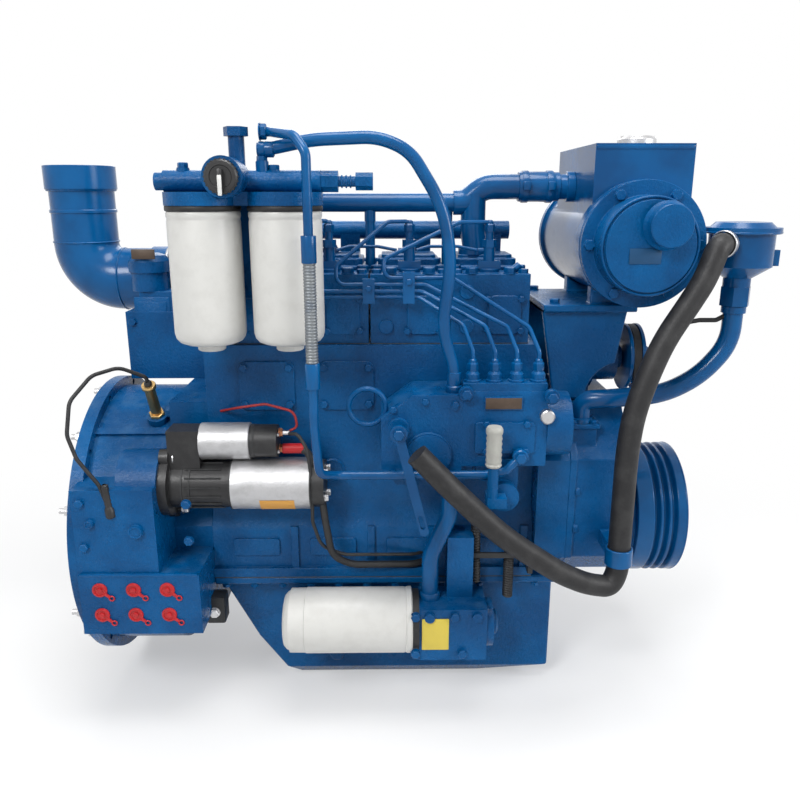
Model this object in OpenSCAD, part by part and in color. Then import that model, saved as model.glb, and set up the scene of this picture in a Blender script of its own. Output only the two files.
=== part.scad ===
// Marine diesel engine with four cylinders in line, as separate pieces.
// The origin is on the crank axis at the rear flange face of the flywheel housing.
// +X runs to the crank pulley, -Y to the injection pump and +Z up. All lengths are millimetres.

/* [Block] */
// Distance between neighbouring cylinders
cyl_pitch = 127; // [124:1:130]
// Rear face of the block to the first cylinder
rear_margin = 73; // [71:1:78]
// Last cylinder to the front face of the block
front_margin = 78; // [76:1:84]
// Height of the deck over the crank axis
deck_h = 330; // [324:1:338]
// Depth of the skirt below the crank axis
skirt_h = 60; // [54:1:66]
// Half width of the crankcase
case_half_w = 150; // [146:1:154]
// Half width of the block under the deck
deck_half_w = 128; // [122:1:129]
// Radius of the main journals
journal_r = 45; // [40:1:48]
// Radial clearance of running shafts
run_gap = 0.05; // [0.03:0.01:0.08]

/* [Sump] */
// Depth of the sump below its rail
sump_depth = 225; // [200:1:240]
// Half width of the sump tub
sump_half_w = 122; // [110:1:132]
// Length that the sump reaches in front of the block
sump_nose = 58; // [50:1:64]

/* [Flywheel housing] */
// Length of the housing from its flange face to the block
housing_len = 200; // [198:1:210]
// Diameter of the flange's bolt circle
flange_pcd = 466.7; // [465:0.1:468]
// Rim of the flange outside its bolt circle
flange_rim = 11.15; // [10:0.05:13]
// Radius of the holes in the flange
flange_hole_r = 5.25; // [4:0.25:6]
// Radius of the pilot bore
pilot_r = 223.84; // [223:0.02:224.5]
// Thickness of the rear flange
flange_t = 20; // [16:1:24]
// Outer radius of the bell
bell_r = 228; // [226:1:230]
// Outer length of the bell
bell_len = 138; // [134:1:142]
// Wall between the bell and the block
bell_wall = 12; // [10:1:16]
// Distance of the mounting pads from the crank axis
pad_y = 250; // [244:1:254]
// Radius of the mounting holes
pad_hole_r = 8; // [6:0.5:9]
// Spacing of the mounting holes along the engine
pad_pitch_x = 52; // [48:1:54]
// Spacing of the mounting holes in height
pad_pitch_z = 43; // [40:1:48]

/* [Flywheel] */
// Clutch face of the flywheel from the flange face
clutch_face_x = 39.6; // [38:0.1:42]
// Radius of the pilot recess in the flywheel
recess_r = 176.2; // [174:0.1:178]
// Diameter of the bolt circle in the flywheel
fly_pcd = 333.4; // [330:0.1:336]
// Radius of the flywheel under the ring gear
fly_r = 187; // [186:1:188]
// Tip radius of the ring gear
gear_r = 199; // [198:0.5:200]
// Teeth of the ring gear
gear_teeth = 120; // [100:1:130]

/* [Timing case] */
// Length of the timing case
timing_len = 51; // [46:1:56]
// Length of the timing cover
cover_len = 97; // [92:1:102]
// Half width of the timing case
timing_half_w = 172; // [168:1:175]
// Height of the timing case over the crank axis
timing_top = 232; // [226:1:238]
// Radius of the crank nose
nose_r = 28; // [24:1:32]

/* [Pulleys and belt] */
// Outer radius of the crank pulley
pulley_r = 117; // [112:1:122]
// Length of the crank pulley
pulley_len = 113; // [110:1:116]
// Groove radius of the crank pulley under the belt
crank_belt_r = 96; // [92:1:100]
// Groove radius of the water pump pulley
pump_belt_r = 48; // [44:1:52]
// Groove radius of the alternator pulley
alt_belt_r = 30; // [28:1:34]
// Belt width
belt_w = 13; // [11:0.5:14]
// Belt thickness
belt_t = 9; // [8:0.5:10]

/* [Heads] */
// Height of a cylinder head
head_h = 110; // [104:1:116]
// Half width of a cylinder head
head_half_w = 120; // [116:1:122]
// Gap between neighbouring heads
head_gap = 3; // [2:0.5:5]
// Height of a rocker cover
rocker_h = 24; // [20:1:28]

/* [Fuel system] */
// Radius of a fuel filter can
filter_r = 51; // [48:1:53]
// Length of a fuel filter can
filter_len = 178; // [170:1:190]
// Distance between the two fuel filters
filter_pitch = 114; // [112:1:118]
// Radius of an injection line
line_r = 3.2; // [2.5:0.1:3.6]
// Distance between the delivery valves
valve_pitch = 33; // [31:0.5:33.5]
// Length of the throttle lever from pivot to slot
lever_len = 160; // [140:1:165]

/* [Cooling] */
// Radius of the exchanger shell
shell_r = 88; // [84:1:90]
// Height of the shell axis over the crank axis
shell_z = 488; // [484:1:494]
// Length of the header tank along the engine
tank_len = 147; // [140:1:150]
// Height of the header tank's roof over the exchanger shell
tank_rise = 56; // [50:1:64]
// Radius of the filler cap
cap_r = 30; // [26:1:34]

/* [Exhaust and air] */
// Outer radius of the exhaust elbow
elbow_r = 59; // [56:1:61]
// Wall of the exhaust elbow
elbow_wall = 5; // [4:0.5:8]
// Radius of the elbow's outlet sleeve
sleeve_r = 65; // [63:1:68]
// Radius of the compressor housing
compressor_r = 88; // [84:1:90]
// Radius of the air inlet bore
inlet_r = 34; // [32:1:36]

/* [Starter and filters] */
// Radius of the starter's field housing
starter_r = 41; // [38:1:41.5]
// Radius of the solenoid
solenoid_r = 29; // [26:1:29]
// Radius of the oil filter can
oil_can_r = 52.5; // [48:0.5:54]
// Length of the oil filter can
oil_can_len = 208; // [200:1:211]

/* [Breather] */
// Radius of the breather body
breather_r = 47; // [44:1:50]
// Radius of the breather pipe
breather_pipe_r = 15; // [12:1:16]

/* [Hidden] */
$fn = 48;
blue = [0.06, 0.33, 0.63];
steel = [0.72, 0.73, 0.75];
black = [0.1, 0.1, 0.11];
white = [0.93, 0.93, 0.92];
brass = [0.72, 0.55, 0.25];
red = [0.78, 0.1, 0.1];

// One overrun for all cuts, one seat gap for curved faces and the common fastener sizes
over = 1;
seat_gap = 0.2;
bolt_r = 8;
bolt_h = 7;
small_bolt_r = 5.5;
small_bolt_h = 4;
plate_t = 12;
thin_t = 5;
boss_h = 6;
lip = 4;

// Stations along the crank axis
x_block = housing_len;
x_front = x_block + rear_margin + 3 * cyl_pitch + front_margin;
x_cover = x_front + timing_len;
x_cover_end = x_cover + cover_len;
pulley_gap = 15;
x_pulley = x_cover_end + pulley_gap;
belt_in = 13;
x_belt = x_pulley + belt_in;
head_top = deck_h + head_h;
tank_top = shell_z + shell_r + tank_rise;
function cyl_x(i) = x_block + rear_margin + i * cyl_pitch;

// Simple solids placed by their two ends
module x_cyl(r, x0, x1, y = 0, z = 0) {
    translate([x0, y, z]) rotate([0, 90, 0]) cylinder(r = r, h = x1 - x0);
}
module y_cyl(r, y0, y1, x, z) {
    translate([x, y1, z]) rotate([90, 0, 0]) cylinder(r = r, h = y1 - y0);
}
module z_cyl(r, z0, z1, x, y) {
    translate([x, y, z0]) cylinder(r = r, h = z1 - z0);
}
module slab(x, y, z) {
    translate([x[0], y[0], z[0]]) cube([x[1] - x[0], y[1] - y[0], z[1] - z[0]]);
}
module along_x(x0, x1) {
    translate([x0, 0, 0]) rotate([90, 0, 90]) linear_extrude(x1 - x0) children();
}
module along_y(y0, y1) {
    translate([0, y1, 0]) rotate([90, 0, 0]) linear_extrude(y1 - y0) children();
}
module round_rect(w, h, r) {
    square([w - 2 * r, h], center = true);
    square([w, h - 2 * r], center = true);
    for (a = [-1, 1], b = [-1, 1]) translate([a * (w / 2 - r), b * (h / 2 - r)]) circle(r);
}

// A tube swept along a route whose corners are turned into arcs
function unit(v) = v / norm(v);
function corner(p, q, s, r, n) =
    let (u = unit(p - q), v = unit(s - q), a = acos(max(-1, min(1, u * v))),
        rr = min(r, 0.45 * min(norm(p - q), norm(s - q)) * tan(a / 2)),
        t = rr / tan(a / 2), o = q + unit(u + v) * rr / sin(a / 2),
        e = unit(q + u * t - o), f = unit(q + v * t - o), w = 180 - a)
    [for (i = [0:n]) o + rr * (e * sin(w * (1 - i / n)) + f * sin(w * i / n)) / sin(w)];
function route(p, r, n = 3) = concat([p[0]],
    [for (i = [1:len(p) - 2]) each corner(p[i - 1], p[i], p[i + 1], r, n)], [p[len(p) - 1]]);
function heading(p, i) = i == 0 ? unit(p[1] - p[0]) :
    i == len(p) - 1 ? unit(p[i] - p[i - 1]) :
    unit(unit(p[i + 1] - p[i]) + unit(p[i] - p[i - 1]));
function carried(p, n, i) = i >= len(p) ? [] :
    let (t = heading(p, i), m = unit(n - (n * t) * t)) concat([m], carried(p, m, i + 1));
module tube(p, r, sides = 10) {
    side_on = abs(heading(p, 0)[2]) > 0.9 ? [1, 0, 0] : [0, 0, 1];
    n = carried(p, side_on, 0);
    k = len(p);
    rings = [for (i = [0:k - 1]) let (t = heading(p, i), b = cross(t, n[i]))
        for (j = [0:sides - 1]) p[i] + r * (n[i] * cos(360 * j / sides) + b * sin(360 * j / sides))];
    walls = [for (i = [0:k - 2], j = [0:sides - 1]) let (a = i * sides + j,
        b = i * sides + (j + 1) % sides) each [[a, b + sides, b], [a, a + sides, b + sides]]];
    ends = [for (j = [1:sides - 2]) each [[0, j, j + 1],
        [(k - 1) * sides, (k - 1) * sides + j + 1, (k - 1) * sides + j]]];
    polyhedron(points = rings, faces = concat(walls, ends), convexity = 6);
}

// Block: waisted section, sump rail, bulkhead ribs, side covers and core plugs
skirt_top = 30;
waist_z = 66;
rail_lip = 8;
rail_half_w = case_half_w + rail_lip;
rail_t = 16;
rib_w = 12;
filter_boss_x = cyl_x(2) + 0.52 * cyl_pitch;
filter_boss_w = 80;
filter_boss_y = case_half_w + 10;
module cylinder_block() {
    color(blue) difference() {
        union() {
            along_x(x_block, x_front) polygon([[-case_half_w, -skirt_h], [case_half_w, -skirt_h],
                [case_half_w, skirt_top], [deck_half_w, waist_z], [deck_half_w, deck_h],
                [-deck_half_w, deck_h], [-deck_half_w, waist_z], [-case_half_w, skirt_top]]);
            slab([x_block, x_front], [-rail_half_w, rail_half_w], [-skirt_h, rail_t - skirt_h]);
            for (i = [0:3]) slab([cyl_x(i) + 0.5 * cyl_pitch - rib_w / 2,
                cyl_x(i) + 0.5 * cyl_pitch + rib_w / 2], [-case_half_w - thin_t,
                case_half_w + thin_t], [-skirt_h, skirt_top]);
            for (i = [0:3]) translate([cyl_x(i), 0, 0]) {
                along_y(deck_half_w, deck_half_w + small_bolt_h) translate([0, 0.6 * deck_h])
                    circle(0.2 * cyl_pitch);
                along_y(-case_half_w - small_bolt_h, -case_half_w)
                    translate([0, (skirt_top - skirt_h) / 2 + rail_t / 2])
                    round_rect(0.6 * cyl_pitch, 0.5 * skirt_h, thin_t);
            }
            for (i = [0, 1]) along_y(-deck_half_w - small_bolt_h, -deck_half_w)
                translate([cyl_x(i) + 0.2 * cyl_pitch, 0.8 * deck_h])
                round_rect(0.7 * cyl_pitch, 0.24 * deck_h, plate_t);
            slab([filter_boss_x - filter_boss_w / 2, filter_boss_x + filter_boss_w / 2],
                [-filter_boss_y, -case_half_w], [rail_t - skirt_h, skirt_top]);
        }
        x_cyl(journal_r + run_gap, x_block - over, x_front + over);
    }
}

// Sump: rail, then a tub that is deepest under the middle cylinders, with its drain plug
sump_z = -skirt_h - sump_depth;
sump_rail_t = 14;
sump_x_end = x_front + sump_nose;
sump_corner = 28;
drain_r = 14;
module oil_sump() {
    color(blue) {
        slab([x_block, sump_x_end], [-rail_half_w, rail_half_w],
            [-skirt_h - sump_rail_t, -skirt_h]);
        intersection() {
            along_y(-sump_half_w, sump_half_w) polygon([[x_block, -skirt_h - sump_rail_t],
                [x_block + 0.5 * cyl_pitch, -skirt_h - 0.6 * sump_depth],
                [cyl_x(0) + 0.45 * cyl_pitch, sump_z], [cyl_x(3), sump_z],
                [sump_x_end - sump_rail_t, sump_z + sump_corner],
                [sump_x_end - sump_rail_t, -skirt_h - sump_rail_t]]);
            along_x(x_block, sump_x_end) polygon([[-sump_half_w, -skirt_h - sump_rail_t],
                [sump_half_w, -skirt_h - sump_rail_t],
                [sump_half_w, sump_z + sump_corner], [sump_half_w - sump_corner, sump_z],
                [sump_corner - sump_half_w, sump_z], [-sump_half_w, sump_z + sump_corner]]);
        }
        translate([cyl_x(1), -sump_half_w, sump_z + 2 * sump_corner]) rotate([90, 0, 0])
            cylinder(r = drain_r, h = bolt_h, $fn = 6);
    }
}

// Flywheel housing: flange, bell, neck to the block, mounting pads and starter face
flange_r = flange_pcd / 2 + flange_rim;
neck_half_w = 124;
neck_top = 236;
neck_bottom = 150;
pad_x = 14;
pad_low = 107;
pad_split = -6;
pad_top = 132;
plug_places = [[109, 66, 11], [40, 79, 7]];
pad_step = 5;
pad_hole_x = 46;
pad_hole_z = -30;
pad_hole_depth = 24;
pad_wall = 36;
cavity_r = 215;
starter_y = -175;
starter_z = 116;
starter_hole_r = 34;
starter_face_r = 56;
pocket_len = 58;
sensor_angle = 28;
module flywheel_housing() {
    color(blue) difference() {
        union() {
            x_cyl(flange_r, 0, flange_t);
            x_cyl(bell_r, flange_t, bell_len);
            along_x(bell_len, x_block) polygon([[-neck_half_w, neck_top], [neck_half_w, neck_top],
                [neck_half_w, waist_z], [case_half_w, skirt_top], [case_half_w, -neck_bottom],
                [-case_half_w, -neck_bottom], [-case_half_w, skirt_top],
                [-neck_half_w, waist_z]]);
            for (s = [-1, 1]) {
                slab([pad_x, x_block], s < 0 ? [-pad_y, -case_half_w] : [case_half_w, pad_y],
                    [-pad_low, pad_split]);
                slab([pad_x, bell_len], s < 0 ? [pad_step - pad_y, -case_half_w] :
                    [case_half_w, pad_y - pad_step], [pad_split, pad_top]);
            }
            for (q = plug_places) y_cyl(q[2], -pad_y, pad_step - pad_y, q[0], q[1]);
            x_cyl(starter_face_r, bell_len - pocket_len - plate_t / 4, bell_len, starter_y,
                starter_z);
            rotate([sensor_angle, 0, 0]) z_cyl(plate_t + thin_t, bell_r - plate_t,
                bell_r + plate_t, bell_len - 2 * plate_t, 0);
            for (a = [-70, -35, 35, 70, 110, 250]) rotate([a, 0, 0])
                slab([flange_t, bell_len], [-rib_w / 2, rib_w / 2],
                    [bell_r - plate_t, bell_r + thin_t]);
        }
        x_cyl(pilot_r, -over, flange_t);
        x_cyl(cavity_r, 0, bell_len - bell_wall);
        x_cyl(journal_r + run_gap, 0, x_block + over);
        x_cyl(starter_hole_r, bell_len - pocket_len, bell_len + over, starter_y, starter_z);
        for (i = [0:11]) rotate([15 + 30 * i, 0, 0])
            x_cyl(flange_hole_r, -over, flange_t + over, 0, flange_pcd / 2);
        difference() {
            slab([bell_len, x_block - plate_t], [pad_wall - pad_y, pad_y - pad_wall],
                [-pad_low - over, pad_split - plate_t]);
            x_cyl(journal_r + plate_t, bell_len, x_block);
        }
        for (i = [0:2], j = [0, 1]) translate([pad_hole_x + i * pad_pitch_x, 0,
            pad_hole_z - j * pad_pitch_z]) {
            y_cyl(pad_hole_r, -pad_y - over, pad_hole_depth - pad_y, 0, 0);
            y_cyl(pad_hole_r, pad_y - pad_hole_depth, pad_y + over, 0, 0);
        }
    }
}

// Red caps in the near mounting holes, each with its pull tab
pad_cap_r = 11;
cap_gap = 0.2;
module pad_caps() {
    color(red) for (i = [0:2], j = [0, 1]) translate([pad_hole_x + i * pad_pitch_x, -pad_y,
        pad_hole_z - j * pad_pitch_z]) {
        y_cyl(pad_cap_r, -small_bolt_h, 0, 0, 0);
        y_cyl(pad_hole_r - cap_gap, 0, plate_t, 0, 0);
        slab([pad_cap_r - thin_t, 2 * pad_cap_r], [-small_bolt_h, -small_bolt_h / 2],
            [-pad_cap_r / 2, 0]);
    }
}

// Studs in the rear flange and the bolt heads on the timing cover
stud_r = 4.6;
stud_out = 16;
stud_angles = [8, 38, 68, 112, 128];
nut_r = 8.5;
module fixed_bolts() {
    color(steel) for (a = stud_angles) rotate([a, 0, 0])
        translate([0, 0, flange_pcd / 2]) {
        x_cyl(stud_r, -stud_out, 0);
        translate([-bolt_h, 0, 0]) rotate([0, 90, 0]) cylinder(r = nut_r, h = bolt_h, $fn = 6);
    }
    color(blue) for (p = cover_bolt_shares) translate([x_cover_end,
        p[0] * timing_half_w, p[1] * timing_top]) rotate([0, 90, 0])
        cylinder(r = bolt_r, h = bolt_h, $fn = 6);
}
cover_bolt_shares = [[-0.88, 0.5], [-0.88, 0.05], [-0.75, -0.1], [-0.6, 0.85], [0, 0.9],
    [0.6, 0.85], [0.88, 0.5], [0.88, 0.05], [0.3, 0.9], [-0.3, 0.9]];

// Timing case and cover: eight-sided housings, the case with the ear that carries the pump
timing_chamfer_z = 82;
timing_foot = 42;
timing_low = 20;
pump_y = -176;
pump_z = 215;
ear_r = 50;
boss_r = 20;
vent_x = x_cover + boss_r + over;
vent_y = -136;
vent_z = 205;
stick_x = x_front + timing_len / 2;
stick_y = timing_half_w + 12;
stick_low = 60;
stick_top = 230;
tube_r = 6;
stick_r = 2.5;
module timing_outline(d) {
    polygon([[-timing_half_w + d, timing_top - timing_chamfer_z],
        [-timing_half_w + 72 * timing_half_w / 172, timing_top - d],
        [timing_half_w - 72 * timing_half_w / 172, timing_top - d],
        [timing_half_w - d, timing_top - timing_chamfer_z], [timing_half_w - d, -timing_low],
        [timing_half_w - timing_foot, -skirt_h], [timing_foot - timing_half_w, -skirt_h],
        [-timing_half_w + d, -timing_low]]);
}
module timing_case() {
    color(blue) difference() {
        union() {
            along_x(x_front, x_cover) timing_outline(0);
            x_cyl(ear_r, x_front, x_cover - plate_t, pump_y, pump_z);
            slab([stick_x - tube_r - thin_t, stick_x + tube_r + thin_t],
                [timing_half_w - over, stick_y + tube_r], [stick_low - plate_t, stick_low + plate_t]);
            z_cyl(tube_r, stick_low, stick_top, stick_x, stick_y);
        }
        x_cyl(journal_r + run_gap, x_front - over, x_cover + over);
        z_cyl(stick_r + run_gap, stick_low, stick_top + over, stick_x, stick_y);
    }
}
module timing_cover() {
    color(blue) difference() {
        union() {
            along_x(x_cover, x_cover + plate_t) timing_outline(0);
            along_x(x_cover + plate_t, x_cover_end) timing_outline(thin_t);
            slab([x_cover, vent_x + boss_r + lip], [vent_y - boss_r + lip, vent_y + boss_r],
                [timing_top / 2, vent_z - lip]);
            slab([x_cover, vent_x + boss_r + 2 * lip], [vent_y - boss_r, vent_y + boss_r + lip],
                [vent_z - 2 * lip, vent_z]);
        }
        x_cyl(nose_r + run_gap, x_cover - over, x_cover_end + over);
    }
}

// Cylinder head with its near-side ports, hold-down bolts and injector boss
head_len = cyl_pitch - head_gap;
injector_y = -85;
rocker_y0 = -50;
rocker_y1 = 55;
port_y = 0;
module head(i) {
    color(blue) translate([cyl_x(i), 0, 0]) {
        slab([-head_len / 2, head_len / 2], [-head_half_w, head_half_w], [deck_h, head_top]);
        along_y(-head_half_w - thin_t, -head_half_w) translate([0.18 * head_len,
            deck_h + 0.42 * head_h]) round_rect(0.42 * head_len, 0.55 * head_h, plate_t);
        for (k = [-1, 1]) along_y(-head_half_w - thin_t, -head_half_w)
            translate([-0.3 * head_len, deck_h + (0.5 + 0.25 * k) * head_h])
            circle(0.09 * head_len);
        z_cyl(plate_t + thin_t, head_top, head_top + boss_h, 0, injector_y);
        for (a = [-1, 1], y = [-0.9, 0.9]) translate([a * 0.42 * head_len, y * head_half_w,
            head_top]) cylinder(r = bolt_r, h = bolt_h, $fn = 6);
    }
}

// Rocker covers: flange, rounded box, raised panel and cap nut
rocker_len = 108;
rocker_step = 6;
module rocker_covers() {
    w = rocker_y1 - rocker_y0;
    color(blue) for (i = [0:3]) translate([cyl_x(i), (rocker_y0 + rocker_y1) / 2, head_top]) {
        linear_extrude(boss_h) round_rect(rocker_len, w, plate_t);
        linear_extrude(rocker_h - boss_h) round_rect(rocker_len - rocker_step,
            w - rocker_step, plate_t);
        linear_extrude(rocker_h) round_rect(rocker_len - 3 * rocker_step,
            w - 3 * rocker_step, plate_t);
        translate([0, 0, rocker_h]) cylinder(r = bolt_r, h = bolt_h, $fn = 6);
    }
}

// Injectors: clamp, body, inlet hexagon and leak-off nipple
injector_r = 9;
injector_h = 57;
module injectors() {
    color(steel) for (i = [0:3]) translate([cyl_x(i), injector_y, head_top + boss_h]) {
        slab([-2 * injector_r, 2 * injector_r], [-injector_r, injector_r], [0, plate_t]);
        cylinder(r = injector_r, h = injector_h - plate_t);
        cylinder(r = 0.7 * injector_r, h = injector_h);
        translate([0, 0, injector_h - 2 * plate_t]) cylinder(r = 1.25 * injector_r,
            h = plate_t, $fn = 6);
        translate([0, 0, injector_h / 2]) rotate([0, -90, 0])
            cylinder(r = 0.4 * injector_r, h = 2 * injector_r);
    }
}

// Injection lines: up from the injector, looped back, along the heads and down to the pump
valve_x = x_front - 112;
valve_y = -200;
valve_z = deck_h - 25;
line_nut_r = 7;
line_nut_h = 12;
line_y = -146;
line_bend = 14;
level_drops = [32, 23, 13, 3];
level_z = [for (d = level_drops) head_top - d];
loop_back = [41, 55, 113, 167];
loop_up = [18, 17, 16, 15];
run_ends = [192, 187, 182, 140];
far_rise = 60;
module injection_line(i) {
    top = [cyl_x(i), injector_y, head_top + boss_h + injector_h];
    foot = [valve_x + i * valve_pitch, valve_y, valve_z];
    loop_x = cyl_x(i) - loop_back[i];
    color(blue) {
        tube(route([top, top + [0, 0, loop_up[i]],
            top + [-0.3 * loop_back[i], -line_bend, loop_up[i]],
            [loop_x, line_y + line_bend / 2, level_z[i] + 2 * line_bend],
            [loop_x, line_y, level_z[i]],
            [x_front - run_ends[i], line_y, level_z[i]],
            [foot[0] - line_bend, valve_y + line_bend, valve_z + 4.7 * line_bend - i],
            foot + [0, 0, 2 * line_bend], foot], line_bend), line_r, 8);
        translate(top) cylinder(r = line_nut_r, h = line_nut_h, $fn = 6);
        translate(foot) cylinder(r = line_nut_r, h = line_nut_h, $fn = 6);
    }
}

// Clamps that tie the injection lines together
clamp_w = 18;
clamp_gap = 0.3;
clamp_x = [cyl_x(1) + 0.43 * cyl_pitch, cyl_x(2) - 0.09 * cyl_pitch];
module line_clamps() {
    color(blue) for (k = [0, 1]) difference() {
        slab([clamp_x[k], clamp_x[k] + clamp_w], [line_y - clamp_w / 2, line_y + clamp_w / 2],
            [level_z[0] - clamp_w / 2, level_z[2 + k] + clamp_w / 2]);
        for (j = [0:2 + k]) x_cyl(line_r + clamp_gap, clamp_x[k] - over,
            clamp_x[k] + clamp_w + over, line_y, level_z[j]);
    }
}

// Injection pump: cam box, barrel block, delivery valves and side cover
pump_x = x_front - 128;
pump_y0 = -222;
pump_y1 = -130;
pump_z0 = 160;
pump_z1 = 276;
module injection_pump() {
    color(blue) {
        along_x(pump_x, x_front) polygon([[pump_y0, pump_z0], [pump_y0, pump_z1 - 2 * plate_t],
            [pump_y0 + plate_t / 2, pump_z1], [pump_y1 - plate_t, pump_z1],
            [pump_y1, pump_z1 - 2 * plate_t], [pump_y1, pump_z0 + plate_t],
            [pump_y1 - plate_t, pump_z0]]);
        along_x(x_front - plate_t, x_front) translate([pump_y, pump_z]) circle(ear_r - thin_t);
        slab([pump_x + over, x_front - over], [valve_y - 1.3 * plate_t, valve_y + 1.3 * plate_t],
            [pump_z1 - over, pump_z1 + plate_t]);
        along_y(pump_y0 - thin_t, pump_y0) translate([(pump_x + x_front) / 2,
            (pump_z0 + pump_z1) / 2 - plate_t]) round_rect(0.7 * (x_front - pump_x), 4 * plate_t,
            thin_t);
        for (i = [0:3]) translate([valve_x + i * valve_pitch, valve_y, 0]) {
            translate([0, 0, pump_z1 + plate_t]) cylinder(r = valve_r, h = plate_t, $fn = 6);
            z_cyl(0.8 * valve_r, pump_z1, valve_z - thin_t, 0, 0);
            z_cyl(0.55 * valve_r, pump_z1, valve_z, 0, 0);
        }
    }
}
valve_r = 11;

// Governor housing behind the pump, with the boss that carries the throttle lever
governor_len = 122;
governor_z0 = 130;
governor_z1 = 272;
lever_x = pump_x - 96;
lever_z = 222;
lever_y = -256;
lever_boss_r = 16;
lever_boss_h = 10;
lever_shaft_r = 6;
lever_shaft_in = 26;
module governor_housing() {
    x0 = pump_x - governor_len;
    color(blue) difference() {
        union() {
            along_y(pump_y0, pump_y1) polygon([[x0 + 2 * plate_t, governor_z0],
                [pump_x, governor_z0], [pump_x, governor_z1], [x0 + 4 * plate_t, governor_z1],
                [x0, governor_z1 - 3 * plate_t], [x0, governor_z0 + 2 * plate_t]]);
            y_cyl(lever_boss_r, pump_y0 - lever_boss_h, pump_y0, lever_x, lever_z);
            y_cyl(3 * plate_t, pump_y0 - boss_h, pump_y0, pump_x - 0.42 * governor_len,
                governor_z0 + 0.34 * (governor_z1 - governor_z0));
            for (k = [0.12, 0.88]) y_cyl(small_bolt_r, pump_y0 - small_bolt_h, pump_y0,
                pump_x - plate_t, governor_z0 + k * (governor_z1 - governor_z0));
        }
        y_cyl(lever_shaft_r + run_gap, pump_y0 - lever_boss_h - over, pump_y0 + lever_shaft_in,
            lever_x, lever_z);
    }
}

// Throttle lever: shaft, hub and arm with a slot near its end
lever_w = 14;
lever_t = 6;
lever_angle = 14;
slot_half = 8;
slot_r = 3.5;
module throttle_lever() {
    color(steel) {
        y_cyl(lever_shaft_r, lever_y, pump_y0 + lever_shaft_in - over, lever_x, lever_z);
        translate([lever_x, 0, lever_z]) rotate([0, -lever_angle, 0]) along_y(lever_y,
            lever_y + lever_t) difference() {
            union() {
                circle(lever_w - over);
                translate([-lever_w / 2, -lever_len]) square([lever_w, lever_len]);
                translate([0, -lever_len]) circle(lever_w / 2);
            }
            for (s = [-1, 1]) translate([0, s * slot_half - lever_len + 2 * slot_half])
                circle(slot_r);
            translate([-slot_r, slot_half - lever_len]) square([2 * slot_r, 2 * slot_half]);
        }
    }
}

// Feed pump on the pump's side, with the neck that guides the hand primer
feed_x = x_front - 64;
feed_z = 118;
feed_r = 22;
primer_x = feed_x - 21;
primer_y = -262;
primer_r = 12;
primer_low = 174;
primer_h = 62;
primer_rod_r = 4;
neck_r = 8;
module feed_pump() {
    color(blue) difference() {
        union() {
            slab([feed_x - feed_r, feed_x + feed_r], [pump_y0 - thin_t, pump_y0],
                [feed_z, pump_z0 + plate_t]);
            y_cyl(feed_r, pump_y0 - 2 * plate_t, pump_y0, feed_x, feed_z);
            slab([primer_x - neck_r, feed_x], [primer_y - neck_r, pump_y0 - plate_t],
                [feed_z - neck_r, feed_z + neck_r]);
            z_cyl(neck_r, feed_z, primer_low, primer_x, primer_y);
        }
        z_cyl(primer_rod_r + run_gap, feed_z, primer_low + over, primer_x, primer_y);
    }
}
module primer_plunger() {
    color(steel) {
        z_cyl(primer_r, primer_low, primer_low + primer_h, primer_x, primer_y);
        z_cyl(primer_rod_r, feed_z + over, primer_low + over, primer_x, primer_y);
        z_cyl(primer_r + over, primer_low + primer_h - boss_h, primer_low + primer_h - over,
            primer_x, primer_y);
    }
}

// Filter head: two round seats, cross tube, valve body, fittings and its bracket
filter_y = -215;
filter_x = cyl_x(0) - 37;
seat_z = 545;
seat_t = 18;
tube_z = 577;
cross_r = 15;
valve_body_x = filter_x + 40;
valve_body_r = 27;
valve_body_y = filter_y - filter_r - lip;
dial_r = 22;
top_fit_x = filter_x + 51;
top_fit_z = 648;
bracket_x = [cyl_x(0) - 18, cyl_x(0) + 58];
bracket_y = -head_half_w - plate_t;
valve_shaft_r = 5;
module filter_head() {
    color(blue) difference() {
        union() {
            for (k = [0, 1]) z_cyl(filter_r + 2, seat_z, seat_z + seat_t,
                filter_x + k * filter_pitch, filter_y);
            slab([filter_x, filter_x + filter_pitch], [filter_y - 2 * plate_t,
                filter_y + 2 * plate_t], [seat_z, seat_z + seat_t]);
            x_cyl(cross_r, filter_x - filter_r, filter_x + filter_pitch + filter_r, filter_y,
                tube_z);
            slab([filter_x - 2 * plate_t, filter_x + filter_pitch + 2 * plate_t],
                [filter_y - plate_t / 2, filter_y + plate_t / 2], [seat_z + over, tube_z]);
            x_cyl(plate_t, filter_x - filter_r - plate_t, filter_x, filter_y, tube_z);
            y_cyl(valve_body_r, valve_body_y, filter_y, valve_body_x, tube_z + thin_t);
            translate([filter_x + filter_pitch + filter_r, filter_y, tube_z])
                rotate([0, 90, 0]) {
                cylinder(r = 1.2 * plate_t, h = 2 * plate_t, $fn = 6);
                cylinder(r = 0.6 * plate_t, h = 4 * plate_t);
                translate([0, 0, 4 * plate_t]) cylinder(r = plate_t, h = 2 * plate_t, $fn = 6);
            }
            z_cyl(plate_t - over, tube_z, top_fit_z, top_fit_x, filter_y);
            translate([top_fit_x, filter_y, top_fit_z - plate_t])
                cylinder(r = 1.4 * plate_t, h = plate_t, $fn = 6);
            slab(bracket_x, [filter_y, -head_half_w], [seat_z, seat_z + plate_t]);
            slab(bracket_x, [bracket_y, -head_half_w - thin_t],
                [deck_h + 2 * plate_t, seat_z + plate_t]);
            for (k = [0, 1]) y_cyl(plate_t, bracket_y, -head_half_w,
                k == 0 ? bracket_x[0] + plate_t : bracket_x[1] - plate_t,
                head_top - 1.5 * plate_t);
        }
        y_cyl(valve_shaft_r + run_gap, valve_body_y - over, filter_y - cross_r - over,
            valve_body_x, tube_z + thin_t);
    }
}

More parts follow.
